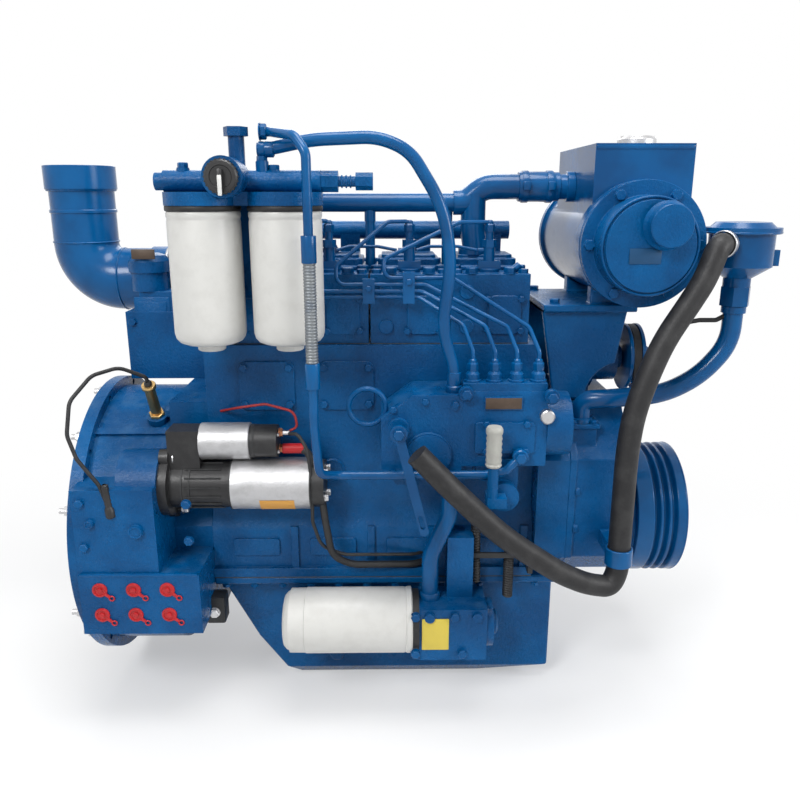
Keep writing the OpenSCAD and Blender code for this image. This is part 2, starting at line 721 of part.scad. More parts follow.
// Changeover lever: dial with a short handle on the front of the filter head
dial_t = 8;
handle_t = 6;
module changeover_lever() {
    color(black) {
        y_cyl(dial_r, valve_body_y - dial_t, valve_body_y - seat_gap, valve_body_x,
            tube_z + thin_t);
        y_cyl(valve_shaft_r, valve_body_y - dial_t, filter_y - cross_r - 2 * over,
            valve_body_x, tube_z + thin_t);
        slab([valve_body_x - handle_t / 2, valve_body_x + handle_t / 2],
            [valve_body_y - 2 * dial_t, valve_body_y - dial_t],
            [tube_z + thin_t - dial_r, tube_z + thin_t + dial_r / 2]);
    }
}

// Spin-on fuel filter: can with a rolled rim, domed foot and drain boss
rim_h = 8;
drain_boss_r = 20;
drain_boss_h = 18;
foot_h = 9;
module fuel_filter(k) {
    low = seat_z - rim_h - filter_len;
    color(white) translate([filter_x + k * filter_pitch, filter_y, low]) rotate_extrude()
        polygon([[0, -drain_boss_h], [drain_boss_r, -drain_boss_h], [drain_boss_r, -foot_h],
            [filter_r - foot_h, -foot_h], [filter_r, 0], [filter_r, filter_len],
            [filter_r - 2, filter_len], [filter_r - 2, filter_len + rim_h],
            [0, filter_len + rim_h]]);
}

// Route points as shares of one metre, chosen by hand along the photographed runs
route_ref = 1000;
fuel_pipe_r = 6.5;
fuel_pipe_shares = [[0.372, -0.268, 0.634], [0.388, -0.280, 0.612], [0.388, -0.280, 0.240],
    [0.392, -0.268, 0.165], [0.418, -0.240, 0.153], [0.640, -0.240, 0.153],
    [0.668, -0.240, 0.158], [0.690, -0.238, 0.180]];
fuel_hose_shares = [[0.390, -0.214, 0.632], [0.480, -0.212, 0.636], [0.524, -0.214, 0.618],
    [0.570, -0.216, 0.545], [0.584, -0.216, 0.470], [0.572, -0.214, 0.370]];
sleeve_top = 505;
sleeve_low = 300;
module fuel_pipe() {
    start = [top_fit_x + 1.4 * plate_t + seat_gap, filter_y, top_fit_z - plate_t / 2];
    p = concat([start, start + [plate_t, 0, 0]], [for (s = fuel_pipe_shares) s * route_ref]);
    color(blue) {
        tube(route(p, 3 * fuel_pipe_r), fuel_pipe_r);
        z_cyl(1.3 * fuel_pipe_r, sleeve_low, sleeve_top, 0.388 * route_ref, -0.280 * route_ref);
        for (z = [sleeve_low, sleeve_top - 3 * plate_t]) z_cyl(1.6 * fuel_pipe_r, z,
            z + 3 * plate_t, 0.388 * route_ref, -0.280 * route_ref);
        translate([0.690 * route_ref, 0, 0.180 * route_ref]) y_cyl(1.5 * fuel_pipe_r,
            -0.238 * route_ref - fuel_pipe_r, pump_y0 - thin_t, 0, 0);
    }
}
fuel_hose_r = 9;
module fuel_hose() {
    start = [top_fit_x + plate_t + seat_gap, filter_y, top_fit_z - 2.4 * plate_t];
    end = [pump_x - plate_t, valve_y, governor_z1];
    p = concat([start, start + [plate_t, 0, 0]], [for (s = fuel_hose_shares) s * route_ref],
        [end + [0, 0, 3 * plate_t], end]);
    color(blue) {
        tube(route(p, 4 * fuel_hose_r), fuel_hose_r);
        translate(end) cylinder(r = 1.2 * fuel_hose_r, h = plate_t, $fn = 6);
    }
}

// Coolant rail over the rocker covers, on legs between the heads
rail_y = -20;
rail_rise = 107;
rail_z = head_top + rail_rise;
rail_r = 15;
rail_leg_r = 8;
rail_x0 = cyl_x(0);
rail_x1 = cyl_x(2) + 0.58 * cyl_pitch;
module coolant_rail() {
    color(blue) {
        x_cyl(rail_r, rail_x0, rail_x1, rail_y, rail_z);
        for (i = [0:2]) {
            z_cyl(rail_leg_r, head_top, rail_z, cyl_x(i) + 0.5 * cyl_pitch, rail_y);
            z_cyl(rail_leg_r + thin_t / 4, rail_z - 2 * rail_r, rail_z,
                cyl_x(i) + 0.5 * cyl_pitch, rail_y);
        }
    }
}
coolant_r = 20;
tank_x0 = x_cover_end - 83;
tank_x1 = tank_x0 + tank_len;
tank_in_z = 572;
module coolant_pipe() {
    p = [[rail_x1, rail_y, rail_z], [rail_x1 + coolant_r, rail_y, rail_z],
        [rail_x1 + 2.5 * coolant_r, rail_y, tank_in_z], [tank_x0, rail_y, tank_in_z]];
    color(blue) {
        tube(route(p, 2 * coolant_r), coolant_r, 16);
        x_cyl(coolant_r + 3, tank_x0 - 3 * plate_t, tank_x0 - 2 * plate_t, rail_y, tank_in_z);
        x_cyl(coolant_r + 4, tank_x0 - plate_t, tank_x0, rail_y, tank_in_z);
    }
}

// Intake manifold on the heads, beside the rocker covers, fed by the compressor
intake_y = 96;
intake_r = 16;
intake_rise = 58;
intake_z = head_top + intake_rise;
turbo_x = 30;
turbo_y = 200;
turbo_drop = 40;
turbo_z = head_top - turbo_drop;
turbine_len = 40;
turbine_r = 62;
middle_len = 22;
middle_r = 34;
compressor_len = 48;
inlet_len = 40;
spigot_r = 16;
compressor_x = turbo_x + turbine_len + middle_len;
intake_x0 = compressor_x + compressor_len + 25;
module intake_manifold() {
    color(blue) {
        x_cyl(intake_r, intake_x0, cyl_x(3) + 0.45 * cyl_pitch, intake_y, intake_z);
        for (i = [0:3]) {
            slab([cyl_x(i) + 0.06 * head_len, cyl_x(i) + 0.34 * head_len],
                [intake_y - 0.9 * intake_r, intake_y + 0.7 * intake_r], [head_top, intake_z]);
            slab([cyl_x(i) - 0.1 * head_len, cyl_x(i) + 0.34 * head_len],
                [intake_y - 1.6 * intake_r, intake_y + 1.3 * intake_r],
                [head_top, head_top + bolt_h]);
        }
        x_cyl(intake_r + thin_t, intake_x0, intake_x0 + plate_t, intake_y, intake_z);
    }
}

// Exhaust manifold: port flanges, log along the far side and the rise to the turbine
log_y = [150, 218];
log_drops = [80, 12];
log_z = [for (d = log_drops) deck_h - d];
port_z = deck_h + 0.28 * head_h;
riser_y = turbo_y;
riser_r = 28;
riser_drop = 128;
riser_z = turbo_z - riser_drop;
foot_drop = 68;
turbine_foot_z = turbo_z - foot_drop;
box_y = [40, 105];
box_rise = 122;
panel_x = [50, 112];
panel_rise = 157;
dome_r = 36;
dome_h = 66;
dome_x = 64;
module exhaust_manifold() {
    color(blue) {
        along_x(x_block + plate_t, cyl_x(3) + 0.45 * cyl_pitch) polygon([
            [log_y[0], log_z[0] + plate_t], [log_y[0] + plate_t, log_z[0]],
            [log_y[1] - plate_t, log_z[0]], [log_y[1], log_z[0] + plate_t],
            [log_y[1], log_z[1] - plate_t], [log_y[1] - plate_t, log_z[1]],
            [log_y[0] + plate_t, log_z[1]], [log_y[0], log_z[1] - plate_t]]);
        for (i = [0:3]) {
            slab([cyl_x(i) - 3 * plate_t, cyl_x(i) + 3 * plate_t],
                [head_half_w, head_half_w + plate_t], [deck_h + 2, port_z + 2.6 * plate_t]);
            along_x(cyl_x(i) - 2 * plate_t, cyl_x(i) + 2 * plate_t) polygon([
                [head_half_w + plate_t - over, port_z - 1.8 * plate_t],
                [log_y[0] + over, log_z[1] - 2 * plate_t],
                [log_y[1] - plate_t, log_z[1] - plate_t], [log_y[0],
                port_z + plate_t], [head_half_w + plate_t - over, port_z + plate_t]]);
        }
        slab([flange_t + lip, x_block], box_y, [neck_top, neck_top + box_rise]);
        slab(panel_x, [box_y[0] + lip, box_y[1]], [neck_top, neck_top + panel_rise]);
        slab([panel_x[0], x_block], [box_y[0] + lip, riser_y], [riser_z - riser_r + lip,
            riser_z + riser_r - lip]);
        translate([dome_x, (box_y[0] + box_y[1]) / 2, neck_top + panel_rise]) rotate_extrude()
            polygon([[0, 0], [0.9 * dome_r, 0], [0.9 * dome_r, 0.5 * dome_h], [dome_r,
                0.5 * dome_h], [dome_r, 0.8 * dome_h], [0.8 * dome_r, 0.95 * dome_h],
                [0.5 * dome_r, dome_h], [0, dome_h]]);
        x_cyl(riser_r, turbo_x + turbine_len / 2, x_block + 2 * plate_t, riser_y, riser_z);
        z_cyl(riser_r, riser_z, turbine_foot_z, turbo_x + turbine_len / 2, riser_y);
        translate([turbo_x + turbine_len / 2, riser_y, riser_z]) sphere(riser_r);
        z_cyl(riser_r + plate_t, turbine_foot_z - plate_t, turbine_foot_z,
            turbo_x + turbine_len / 2, riser_y);
    }
}

// Turbocharger: turbine volute with its foot, bearing housing, compressor and air inlet
wheel_gap = 2;
turbine_wheel_r = 36;
compressor_wheel_r = 40;
turbo_shaft_r = 8;
outlet_r = 40;
wheel_len = 26;
module turbocharger() {
    x1 = turbo_x + turbine_len;
    x2 = compressor_x + compressor_len;
    xo = x2 - compressor_len / 2;
    zo = turbo_z + compressor_r - 1.5 * spigot_r;
    color(steel) difference() {
        union() {
            x_cyl(turbine_r, turbo_x + boss_h, x1, turbo_y, turbo_z);
            x_cyl(elbow_r, turbo_x, turbo_x + plate_t, turbo_y, turbo_z);
            z_cyl(turbine_len / 2, turbine_foot_z, turbo_z, turbo_x + turbine_len / 2, turbo_y);
            x_cyl(middle_r, x1 - over, compressor_x + over, turbo_y, turbo_z);
            x_cyl(compressor_r, compressor_x + boss_h, x2, turbo_y, turbo_z);
            x_cyl(0.8 * compressor_r, compressor_x, x2 + boss_h, turbo_y, turbo_z);
            x_cyl(inlet_r + boss_h, x2, x2 + inlet_len, turbo_y, turbo_z);
            tube(route([[xo, turbo_y, zo], [xo, intake_y, zo],
                [intake_x0 - spigot_r, intake_y, intake_z], [intake_x0, intake_y, intake_z]],
                1.5 * spigot_r, 4), spigot_r, 14);
        }
        x_cyl(outlet_r, turbo_x - over, turbo_x + turbine_len - plate_t, turbo_y, turbo_z);
        x_cyl(turbo_shaft_r + run_gap, turbo_x, x2, turbo_y, turbo_z);
        x_cyl(compressor_wheel_r + wheel_gap, x2 - wheel_len - boss_h, x2, turbo_y, turbo_z);
        x_cyl(inlet_r, x2 - over, x2 + inlet_len + over, turbo_y, turbo_z);
    }
}

// Turbo rotor: shaft, turbine wheel and compressor wheel with their blades
blade_n = 8;
blade_t = 2.5;
hub_r = 13;
module wheel(r, x0, x1) {
    x_cyl(hub_r, x0, x1, turbo_y, turbo_z);
    for (k = [0:blade_n - 1]) translate([0, turbo_y, turbo_z]) rotate([360 * k / blade_n, 0, 0])
        slab([x0 + over, x1 - over], [-blade_t / 2, blade_t / 2], [hub_r - blade_t, r]);
}
module turbo_rotor() {
    x2 = compressor_x + compressor_len;
    color(steel) {
        x_cyl(turbo_shaft_r, turbo_x + plate_t / 2, x2 - over, turbo_y, turbo_z);
        wheel(turbine_wheel_r, turbo_x + plate_t / 3, turbo_x + turbine_len - plate_t - over);
        wheel(inlet_r - wheel_gap, x2 - wheel_len, x2 - over);
    }
}

// Exhaust elbow: hollow bend with its outlet sleeve and weld bead
elbow_x = -93;
elbow_bend = 68;
elbow_rise = 212;
elbow_top = turbo_z + elbow_rise;
sleeve_h = 43;
module elbow_run(r, ext) {
    translate([elbow_x, turbo_y, turbo_z + elbow_bend])
        cylinder(r = r, h = elbow_top - turbo_z - elbow_bend + ext);
    translate([elbow_x + elbow_bend, turbo_y, turbo_z + elbow_bend]) rotate([90, 0, 0])
        rotate([0, 0, 180]) rotate_extrude(angle = 90) translate([elbow_bend, 0]) circle(r);
    x_cyl(r, elbow_x + elbow_bend, turbo_x + ext, turbo_y, turbo_z);
}
module exhaust_elbow() {
    color(blue) difference() {
        union() {
            elbow_run(elbow_r, 0);
            z_cyl(sleeve_r, elbow_top - sleeve_h, elbow_top, elbow_x, turbo_y);
            z_cyl(elbow_r + 2, elbow_top - 2 * sleeve_h, elbow_top - 2 * sleeve_h + boss_h,
                elbow_x, turbo_y);
        }
        elbow_run(elbow_r - elbow_wall, over);
    }
}

// Header tank over the exchanger shell, with the filler neck and stiffening flange
shell_x = x_cover_end - 9;
tank_y0 = -150;
tank_y1 = 90;
shell_y1 = 150;
tank_floor = shell_z + 14;
filler_x = tank_x0 + 0.59 * tank_len;
filler_y = -60;
neck_h = 12;
filler_neck_r = 20;
cap_skirt = 1;
module header_tank() {
    color(blue) difference() {
        union() {
            y_cyl(shell_r, tank_y0, shell_y1, shell_x, shell_z);
            y_cyl(shell_r + thin_t, tank_y0 - plate_t, tank_y0 + plate_t, shell_x, shell_z);
            y_cyl(shell_r + thin_t, shell_y1 - plate_t, shell_y1, shell_x, shell_z);
            slab([tank_x0, tank_x1], [tank_y0, tank_y1], [tank_floor, tank_top]);
            z_cyl(filler_neck_r, tank_top, tank_top + neck_h, filler_x, filler_y);
            x_cyl(coolant_r, tank_x1, tank_x1 + thin_t, 0, shell_z + 3 * plate_t);
        }
        z_cyl(filler_neck_r - lip, tank_top - 2 * plate_t, tank_top + neck_h + over,
            filler_x, filler_y);
    }
}
module filler_cap() {
    color(steel) difference() {
        z_cyl(cap_r, tank_top + cap_skirt, tank_top + neck_h + lip, filler_x, filler_y);
        z_cyl(filler_neck_r + cap_skirt, tank_top, tank_top + neck_h + seat_gap, filler_x,
            filler_y);
    }
}

// End cover of the exchanger: flange, drum, pipe boss and its ring of bolts
cover_r = 71;
cover_h = 40;
pipe_boss_r = 30;
pipe_boss_x = 13;
pipe_boss_h = 24;
bolt_ring = 6;
module exchanger_cover() {
    y0 = tank_y0 - plate_t;
    color(blue) {
        y_cyl(shell_r + thin_t, y0 - plate_t, y0, shell_x, shell_z);
        y_cyl(cover_r, y0 - plate_t - cover_h, y0, shell_x - lip, shell_z);
        y_cyl(cover_r - boss_h, y0 - plate_t - cover_h - thin_t, y0, shell_x - lip, shell_z);
        y_cyl(pipe_boss_r, y0 - plate_t - cover_h - pipe_boss_h, y0, shell_x + pipe_boss_x,
            shell_z + 0.42 * cover_r);
        for (i = [0:bolt_ring - 1]) translate([shell_x, y0 - plate_t, shell_z])
            rotate([90, 0, 0]) rotate([0, 0, 360 * i / bolt_ring])
            translate([shell_r - boss_h, 0, 0]) cylinder(r = bolt_r, h = bolt_h, $fn = 6);
    }
}

// Bracket that carries the exchanger on the timing case
bracket_z = 378;
bracket_t = 12;
leg_y = 96;
bracket_x0 = x_front + 10;
module tank_bracket() {
    color(blue) difference() {
        union() {
            slab([bracket_x0, x_cover_end + plate_t], [-leg_y - plate_t, leg_y + plate_t],
                [bracket_z, bracket_z + bracket_t]);
            for (s = [-1, 1]) along_y(s < 0 ? -leg_y : leg_y - plate_t, s < 0 ?
                plate_t - leg_y : leg_y) difference() {
                polygon([[bracket_x0 + 2 * plate_t, timing_top], [x_cover_end - 2 * plate_t,
                    timing_top], [x_cover_end, bracket_z + over], [bracket_x0,
                    bracket_z + over]]);
                translate([x_cover_end, timing_top]) circle(0.42 * (bracket_z - timing_top));
            }
            for (s = [-1, 1]) slab([shell_x - 0.6 * shell_r, x_cover_end + plate_t],
                s < 0 ? [-leg_y, -leg_y + 2 * plate_t] : [leg_y - 2 * plate_t, leg_y],
                [bracket_z, bracket_z + 4 * plate_t]);
        }
        y_cyl(shell_r + seat_gap, -leg_y - 2 * plate_t, leg_y + 2 * plate_t, shell_x, shell_z);
    }
}

// Breather: stepped lid, round body, cone, hexagon, hose spigot and side lug
breather_x = tank_x1 + 82;
breather_y = -150;
nut_z = 395;
body_z = 455;
lid_z = 505;
lid_h = 15;
lid_over = 8;
spigot_len = 60;
hose_spigot_z = 490;
module breather() {
    color(blue) {
        translate([breather_x, breather_y, 0]) {
            rotate_extrude() polygon([[0, nut_z + plate_t], [breather_pipe_r + thin_t,
                nut_z + plate_t], [breather_pipe_r + thin_t, body_z - 1.5 * plate_t],
                [breather_r, body_z], [breather_r, lid_z], [breather_r + lid_over, lid_z],
                [breather_r + lid_over, lid_z + lid_h / 2], [breather_r, lid_z + lid_h / 2],
                [breather_r - lid_over, lid_z + lid_h], [0, lid_z + lid_h]]);
            translate([0, 0, nut_z]) cylinder(r = breather_pipe_r + lid_over,
                h = 2.4 * plate_t, $fn = 6);
            translate([0, 0, hose_spigot_z]) rotate([90, 0, -45])
                cylinder(r = plate_t, h = spigot_len);
        }
        slab([breather_x, breather_x + breather_r + plate_t], [breather_y - thin_t,
            breather_y + thin_t], [body_z, body_z + 2 * plate_t]);
    }
}
breather_pipe_shares = [[1.026, -0.150, 0.335], [0.985, -0.150, 0.284],
    [0.930, -0.150, 0.254], [0.835, -0.150, 0.246]];
module breather_pipe() {
    p = concat([[breather_x, breather_y, nut_z]], [for (s = breather_pipe_shares) s * route_ref],
        [[vent_x, vent_y, vent_z + 3 * plate_t], [vent_x, vent_y, vent_z]]);
    color(blue) {
        tube(route(p, 3 * breather_pipe_r), breather_pipe_r, 14);
        z_cyl(breather_pipe_r + 3, nut_z - plate_t, nut_z, breather_x, breather_y);
    }
}

// Black hose: from the breather spigot, through the clip and up to its open end
hose_r = 17;
hose_route = [[968, -208, 490], [950, -214, 440], [927, -220, 404], [895, -228, 356],
    [873, -234, 303], [856, -238, 247], [850, -240, 191], [850, -240, -10],
    [838, -246, -32], [800, -256, -22], [756, -268, 2], [659, -290, 75], [583, -291, 151],
    [533, -292, 204]];
module breather_hose() {
    d = spigot_len / sqrt(2);
    p = concat([[breather_x - d, breather_y - d, hose_spigot_z]], hose_route);
    color(black) tube(route(p, 2 * hose_r), hose_r, 12);
}
clip_x = 850;
clip_y = -240;
clip_z = 4;
clip_h = 28;
hose_gap = 0.4;
module hose_clips() {
    d = spigot_len / sqrt(2);
    color(blue) difference() {
        union() {
            z_cyl(hose_r + 4, clip_z, clip_z + clip_h, clip_x, clip_y);
            slab([clip_x - plate_t, clip_x + plate_t], [clip_y, thin_t - timing_half_w],
                [clip_z + 2, clip_z + clip_h - 2]);
        }
        z_cyl(hose_r + hose_gap, clip_z - over, clip_z + clip_h + over, clip_x, clip_y);
    }
    color(steel) translate([breather_x - d, breather_y - d, hose_spigot_z])
        rotate([90, 0, -45]) difference() {
        cylinder(r = hose_r + 3, h = plate_t - 3);
        translate([0, 0, -over]) cylinder(r = hose_r + hose_gap, h = 2 * plate_t);
    }
}

// Water pump on the timing cover, its pulley, the alternator and the belt between them
wp_y = -30;
wp_z = 290;
wp_r = 40;
wp_x0 = x_cover + 30;
shaft_r = 9;
shaft_in = 30;
alt_y = 235;
alt_z = 205;
alt_r = 62;
alt_len = 88;
alt_x1 = x_pulley - 5;
groove_gap = 0.6;
groove_half = belt_w / 2 + groove_gap;
cheek = 6;
module water_pump() {
    color(blue) difference() {
        union() {
            x_cyl(wp_r, wp_x0, x_pulley - 16, wp_y, wp_z);
            x_cyl(wp_r + plate_t, wp_x0 + plate_t, wp_x0 + 2 * plate_t, wp_y, wp_z);
            slab([wp_x0, x_cover_end - 4 * plate_t], [wp_y - 3 * plate_t, wp_y + 3 * plate_t],
                [timing_top - thin_t, wp_z]);
            x_cyl(wp_r / 2, x_pulley - 17, x_pulley - 4, wp_y, wp_z);
            y_cyl(coolant_r, wp_y, wp_y + wp_r + 2 * plate_t, wp_x0 + 3 * plate_t, wp_z);
        }
        x_cyl(shaft_r + run_gap, x_pulley - 4 - shaft_in, x_pulley, wp_y, wp_z);
    }
}
module grooved_pulley(r, y, z) {
    x0 = x_belt - groove_half - cheek;
    x1 = x_belt + groove_half + cheek;
    difference() {
        x_cyl(r + belt_t, x0, x1, y, z);
        difference() {
            x_cyl(r + belt_t + over, x_belt - groove_half, x_belt + groove_half, y, z);
            x_cyl(r, x_belt - groove_half - over, x_belt + groove_half + over, y, z);
        }
    }
}
module water_pump_pulley() {
    color(blue) {
        grooved_pulley(pump_belt_r, wp_y, wp_z);
        x_cyl(shaft_r, x_pulley - 3 - shaft_in, x_belt, wp_y, wp_z);
        x_cyl(2 * shaft_r, x_belt, x_belt + groove_half + 2 * plate_t, wp_y, wp_z);
    }
}
module alternator() {
    x0 = alt_x1 - alt_len;
    color(steel) difference() {
        union() {
            x_cyl(alt_r, x0 + plate_t, alt_x1 - plate_t, alt_y, alt_z);
            x_cyl(0.85 * alt_r, x0, alt_x1, alt_y, alt_z);
            slab([x0 + plate_t, x0 + 4 * plate_t], [timing_half_w - thin_t, alt_y],
                [alt_z - alt_r - 3 * plate_t, alt_z - alt_r + plate_t]);
            slab([x0 + plate_t, x0 + 4 * plate_t], [alt_y - plate_t, alt_y + plate_t],
                [alt_z - alt_r - 3 * plate_t, alt_z]);
            for (k = [0:7]) translate([0, alt_y, alt_z]) rotate([45 * k, 0, 0])
                slab([x0 + plate_t, alt_x1 - plate_t], [-thin_t, thin_t],
                    [alt_r - thin_t, alt_r + 2]);
        }
        x_cyl(shaft_r + run_gap, alt_x1 - shaft_in, alt_x1 + over, alt_y, alt_z);
    }
}
module alternator_pulley() {
    color(steel) {
        grooved_pulley(alt_belt_r, alt_y, alt_z);
        x_cyl(shaft_r, alt_x1 - shaft_in + over, x_belt + groove_half + plate_t, alt_y, alt_z);
    }
}
module belt_loop(d) {
    hull() {
        circle(crank_belt_r + d);
        translate([wp_y, wp_z]) circle(pump_belt_r + d);
        translate([alt_y, alt_z]) circle(alt_belt_r + d);
    }
}
module drive_belt() {
    color(black) along_x(x_belt - belt_w / 2, x_belt + belt_w / 2) difference() {
        belt_loop(belt_t - over);
        belt_loop(groove_gap);
    }
}

// Crank pulley: hub, belt groove, grooves for auxiliary belts and the outer ring
aux_n = 3;
aux_pitch = 15;
ring_w = 12;
dish_depth = 34;
rim_wall = 16;
hub_len = 20;
module crank_pulley() {
    x1 = x_pulley + pulley_len;
    color(blue) difference() {
        union() {
            grooved_pulley(crank_belt_r, 0, 0);
            x_cyl(pulley_r, x_belt + groove_half + cheek, x1, 0, 0);
            x_cyl(2 * nose_r, x_pulley - pulley_gap + 3, x_belt, 0, 0);
        }
        for (k = [0:aux_n - 1]) translate([x1 - ring_w - (k + 0.5) * aux_pitch - 3, 0, 0])
            rotate([0, 90, 0]) rotate_extrude() polygon([[pulley_r - 11, -2], [pulley_r + over,
            -5.5], [pulley_r + over, 5.5], [pulley_r - 11, 2]]);
        x_cyl(pulley_r - rim_wall, x1 - dish_depth, x1 + over, 0, 0);
        x_cyl(nose_r + seat_gap, x_pulley - pulley_gap, x1, 0, 0);
    }
    color(steel) for (k = [0:5]) rotate([60 * k, 0, 0]) translate([x1 - dish_depth, 0,
        1.6 * nose_r]) rotate([0, 90, 0]) cylinder(r = bolt_r, h = bolt_h, $fn = 6);
}

// Crankshaft as far as it shows: rear flange, journals and the nose in the pulley
crank_flange_r = 60;
crank_flange_t = 24;
crank_face_x = bell_len - bell_wall - crank_flange_t - 2;
module crankshaft() {
    color(steel) {
        x_cyl(crank_flange_r, crank_face_x, crank_face_x + crank_flange_t);
        x_cyl(journal_r, crank_face_x, x_cover);
        x_cyl(nose_r, x_cover, x_pulley + pulley_len - dish_depth + plate_t);
    }
}

// Flywheel: clutch recess, web, hub and the seat of the ring gear
fly_rim_x = 25;
fly_web_x = 74;
gear_x = 62;
gear_w = 16;
fly_pilot_r = 31;
fly_hole_r = 5.25;
module flywheel() {
    color(steel) difference() {
        union() {
            x_cyl(fly_r, fly_rim_x, gear_x + gear_w);
            x_cyl(fly_r + thin_t - over, fly_rim_x, gear_x);
            x_cyl(crank_flange_r + plate_t, fly_web_x, crank_face_x);
        }
        x_cyl(recess_r, fly_rim_x - over, clutch_face_x);
        x_cyl(fly_pilot_r, fly_rim_x, crank_face_x + over);
        x_cyl(crank_flange_r, clutch_face_x - over, clutch_face_x + bolt_h + lip);
        for (i = [0:7]) rotate([22.5 + 45 * i, 0, 0]) x_cyl(fly_hole_r, fly_rim_x,
            clutch_face_x + 2 * plate_t, 0, fly_pcd / 2);
    }
    color(steel) for (i = [0:7]) rotate([45 * i, 0, 0]) translate([clutch_face_x + lip, 0,
        0.78 * crank_flange_r]) rotate([0, 90, 0]) cylinder(r = bolt_r, h = bolt_h, $fn = 6);
}

// Ring gear: a toothed ring whose outline follows the tooth count
gear_depth = 6;
module ring_gear() {
    p = 360 / gear_teeth;
    color(steel) along_x(gear_x, gear_x + gear_w) difference() {
        polygon([for (i = [0:gear_teeth - 1]) for (q = [[0, -gear_depth], [0.25, -gear_depth],
            [0.4, 0], [0.85, 0]]) let (a = (i + q[0]) * p, r = gear_r + q[1])
            [r * cos(a), r * sin(a)]]);
        circle(fly_r + seat_gap, $fn = 4 * $fn);
    }
}

// Starter: flange, nose with pinion, black drive end, field housing and end cap
starter_flange_t = 14;
nose_len = 22;
drive_len = 93;
field_len = 125;
cap_len = 22;
pinion_r = 17;
pinion_len = 18;
solenoid_z = starter_z + 71;
solenoid_x0 = bell_len + starter_flange_t + 48;
module starter_motor() {
    x1 = bell_len + starter_flange_t;
    color(black) {
        along_x(bell_len, x1) {
            translate([starter_y, starter_z]) circle(starter_face_r - 6);
            for (s = [-1, 1]) translate([starter_y - s * 14, starter_z + s * 48]) circle(bolt_r + 6);
        }
        x_cyl(starter_hole_r - seat_gap, bell_len - bell_wall - nose_len / 2, x1, starter_y,
            starter_z);
        x_cyl(starter_r - 3, x1 - over, x1 + drive_len, starter_y, starter_z);
        slab([x1 - over, solenoid_x0], [starter_y - 22, starter_y + 22],
            [starter_z, solenoid_z + 22]);
        x_cyl(starter_r - 3, x1 + drive_len + field_len, x1 + drive_len + field_len + cap_len,
            starter_y, starter_z);
    }
    color(steel) {
        x_cyl(starter_r, x1 + drive_len, x1 + drive_len + field_len, starter_y, starter_z);
        x_cyl(shaft_r, gear_x + gear_w + 6, bell_len - bell_wall, starter_y, starter_z);
        along_x(gear_x + gear_w + 6, gear_x + gear_w + 6 + pinion_len)
            translate([starter_y, starter_z]) polygon([for (i = [0:10]) for (q = [[0, -4],
            [0.3, -4], [0.45, 0], [0.85, 0]]) let (a = (i + q[0]) * 360 / 11, r = pinion_r + q[1])
            [r * cos(a), r * sin(a)]]);
        x_cyl(3, x1 + drive_len + field_len, x1 + drive_len + field_len + cap_len + 16,
            starter_y, starter_z + 8);
        for (s = [-1, 1]) x_cyl(bolt_r - 1, x1, x1 + boss_h, starter_y - s * 14,
            starter_z + s * 48);
    }
}
solenoid_len = 77;
solenoid_cap = 43;
module starter_solenoid() {
    x1 = solenoid_x0 + solenoid_len;
    color(steel) x_cyl(solenoid_r, solenoid_x0, x1, starter_y, solenoid_z);
    color(black) x_cyl(solenoid_r - 3, x1, x1 + solenoid_cap, starter_y, solenoid_z);
    color(steel) for (s = [-1, 1]) x_cyl(4, x1 + solenoid_cap, x1 + solenoid_cap + 18,
        starter_y, solenoid_z + s * 13);
    color(red) x_cyl(8, x1 + solenoid_cap + 6, x1 + solenoid_cap + 40, starter_y,
        solenoid_z - 13);
}

// Oil filter, its head on the block's boss and the oil pipe from the pump
oil_y = -200;
oil_z = -115;
head_x0 = filter_boss_x - filter_boss_w / 2 - 12;
oil_head_w = 108;
oil_low = -165;
oil_high = -75;
module oil_filter() {
    x1 = head_x0 - 8;
    color(white) {
        x_cyl(oil_can_r, x1 - oil_can_len, x1, oil_y, oil_z);
        x_cyl(oil_can_r - 6, x1 - oil_can_len - 4, x1, oil_y, oil_z);
        x_cyl(0.7 * oil_can_r, x1 - over, head_x0, oil_y, oil_z);
    }
}
module oil_filter_head() {
    x1 = head_x0 + oil_head_w;
    color(blue) {
        slab([head_x0, x1], [oil_y - 3.4 * plate_t, oil_y + 2.9 * plate_t],
            [oil_low, oil_high]);
        slab([filter_boss_x - plate_t / 2, filter_boss_x + 3 * plate_t],
            [oil_y, -filter_boss_y], [oil_high - over, skirt_top]);
        x_cyl(3.2 * plate_t, head_x0, x1 + plate_t, oil_y, oil_z - thin_t);
        for (k = [0, 1]) y_cyl(bolt_r, oil_y - 3.4 * plate_t - boss_h, oil_y,
            head_x0 + (0.15 + 0.7 * k) * oil_head_w, oil_high - plate_t);
    }
}
oil_pipe_r = 13.5;
module oil_pipe() {
    p = [[pump_x - 14, oil_y + 10, governor_z0], [pump_x - 14, oil_y + 10, 0.5 * governor_z0],
        [head_x0 + 1.5 * plate_t, oil_y, 0],
        [head_x0 + 1.5 * plate_t, oil_y, oil_high]];
    color(blue) {
        tube(route(p, 4 * oil_pipe_r), oil_pipe_r, 12);
        z_cyl(oil_pipe_r + 3, oil_high, oil_high + plate_t, head_x0 + 1.5 * plate_t, oil_y);
        z_cyl(oil_pipe_r + 3, governor_z0 - plate_t, governor_z0, pump_x - 14, oil_y + 10);
    }
}

// Speed sensor: brass body in the boss on the bell, with its collar and ring
sensor_r = 8.5;
sensor_len = 66;
module speed_sensor() {
    color(brass) rotate([sensor_angle, 0, 0]) translate([bell_len - 2 * plate_t, 0,
        bell_r + plate_t]) {
        cylinder(r = 1.5 * sensor_r, h = boss_h, $fn = 6);
        cylinder(r = sensor_r, h = sensor_len);
        translate([0, 0, sensor_len - boss_h]) cylinder(r = 1.3 * sensor_r, h = boss_h);
    }
}

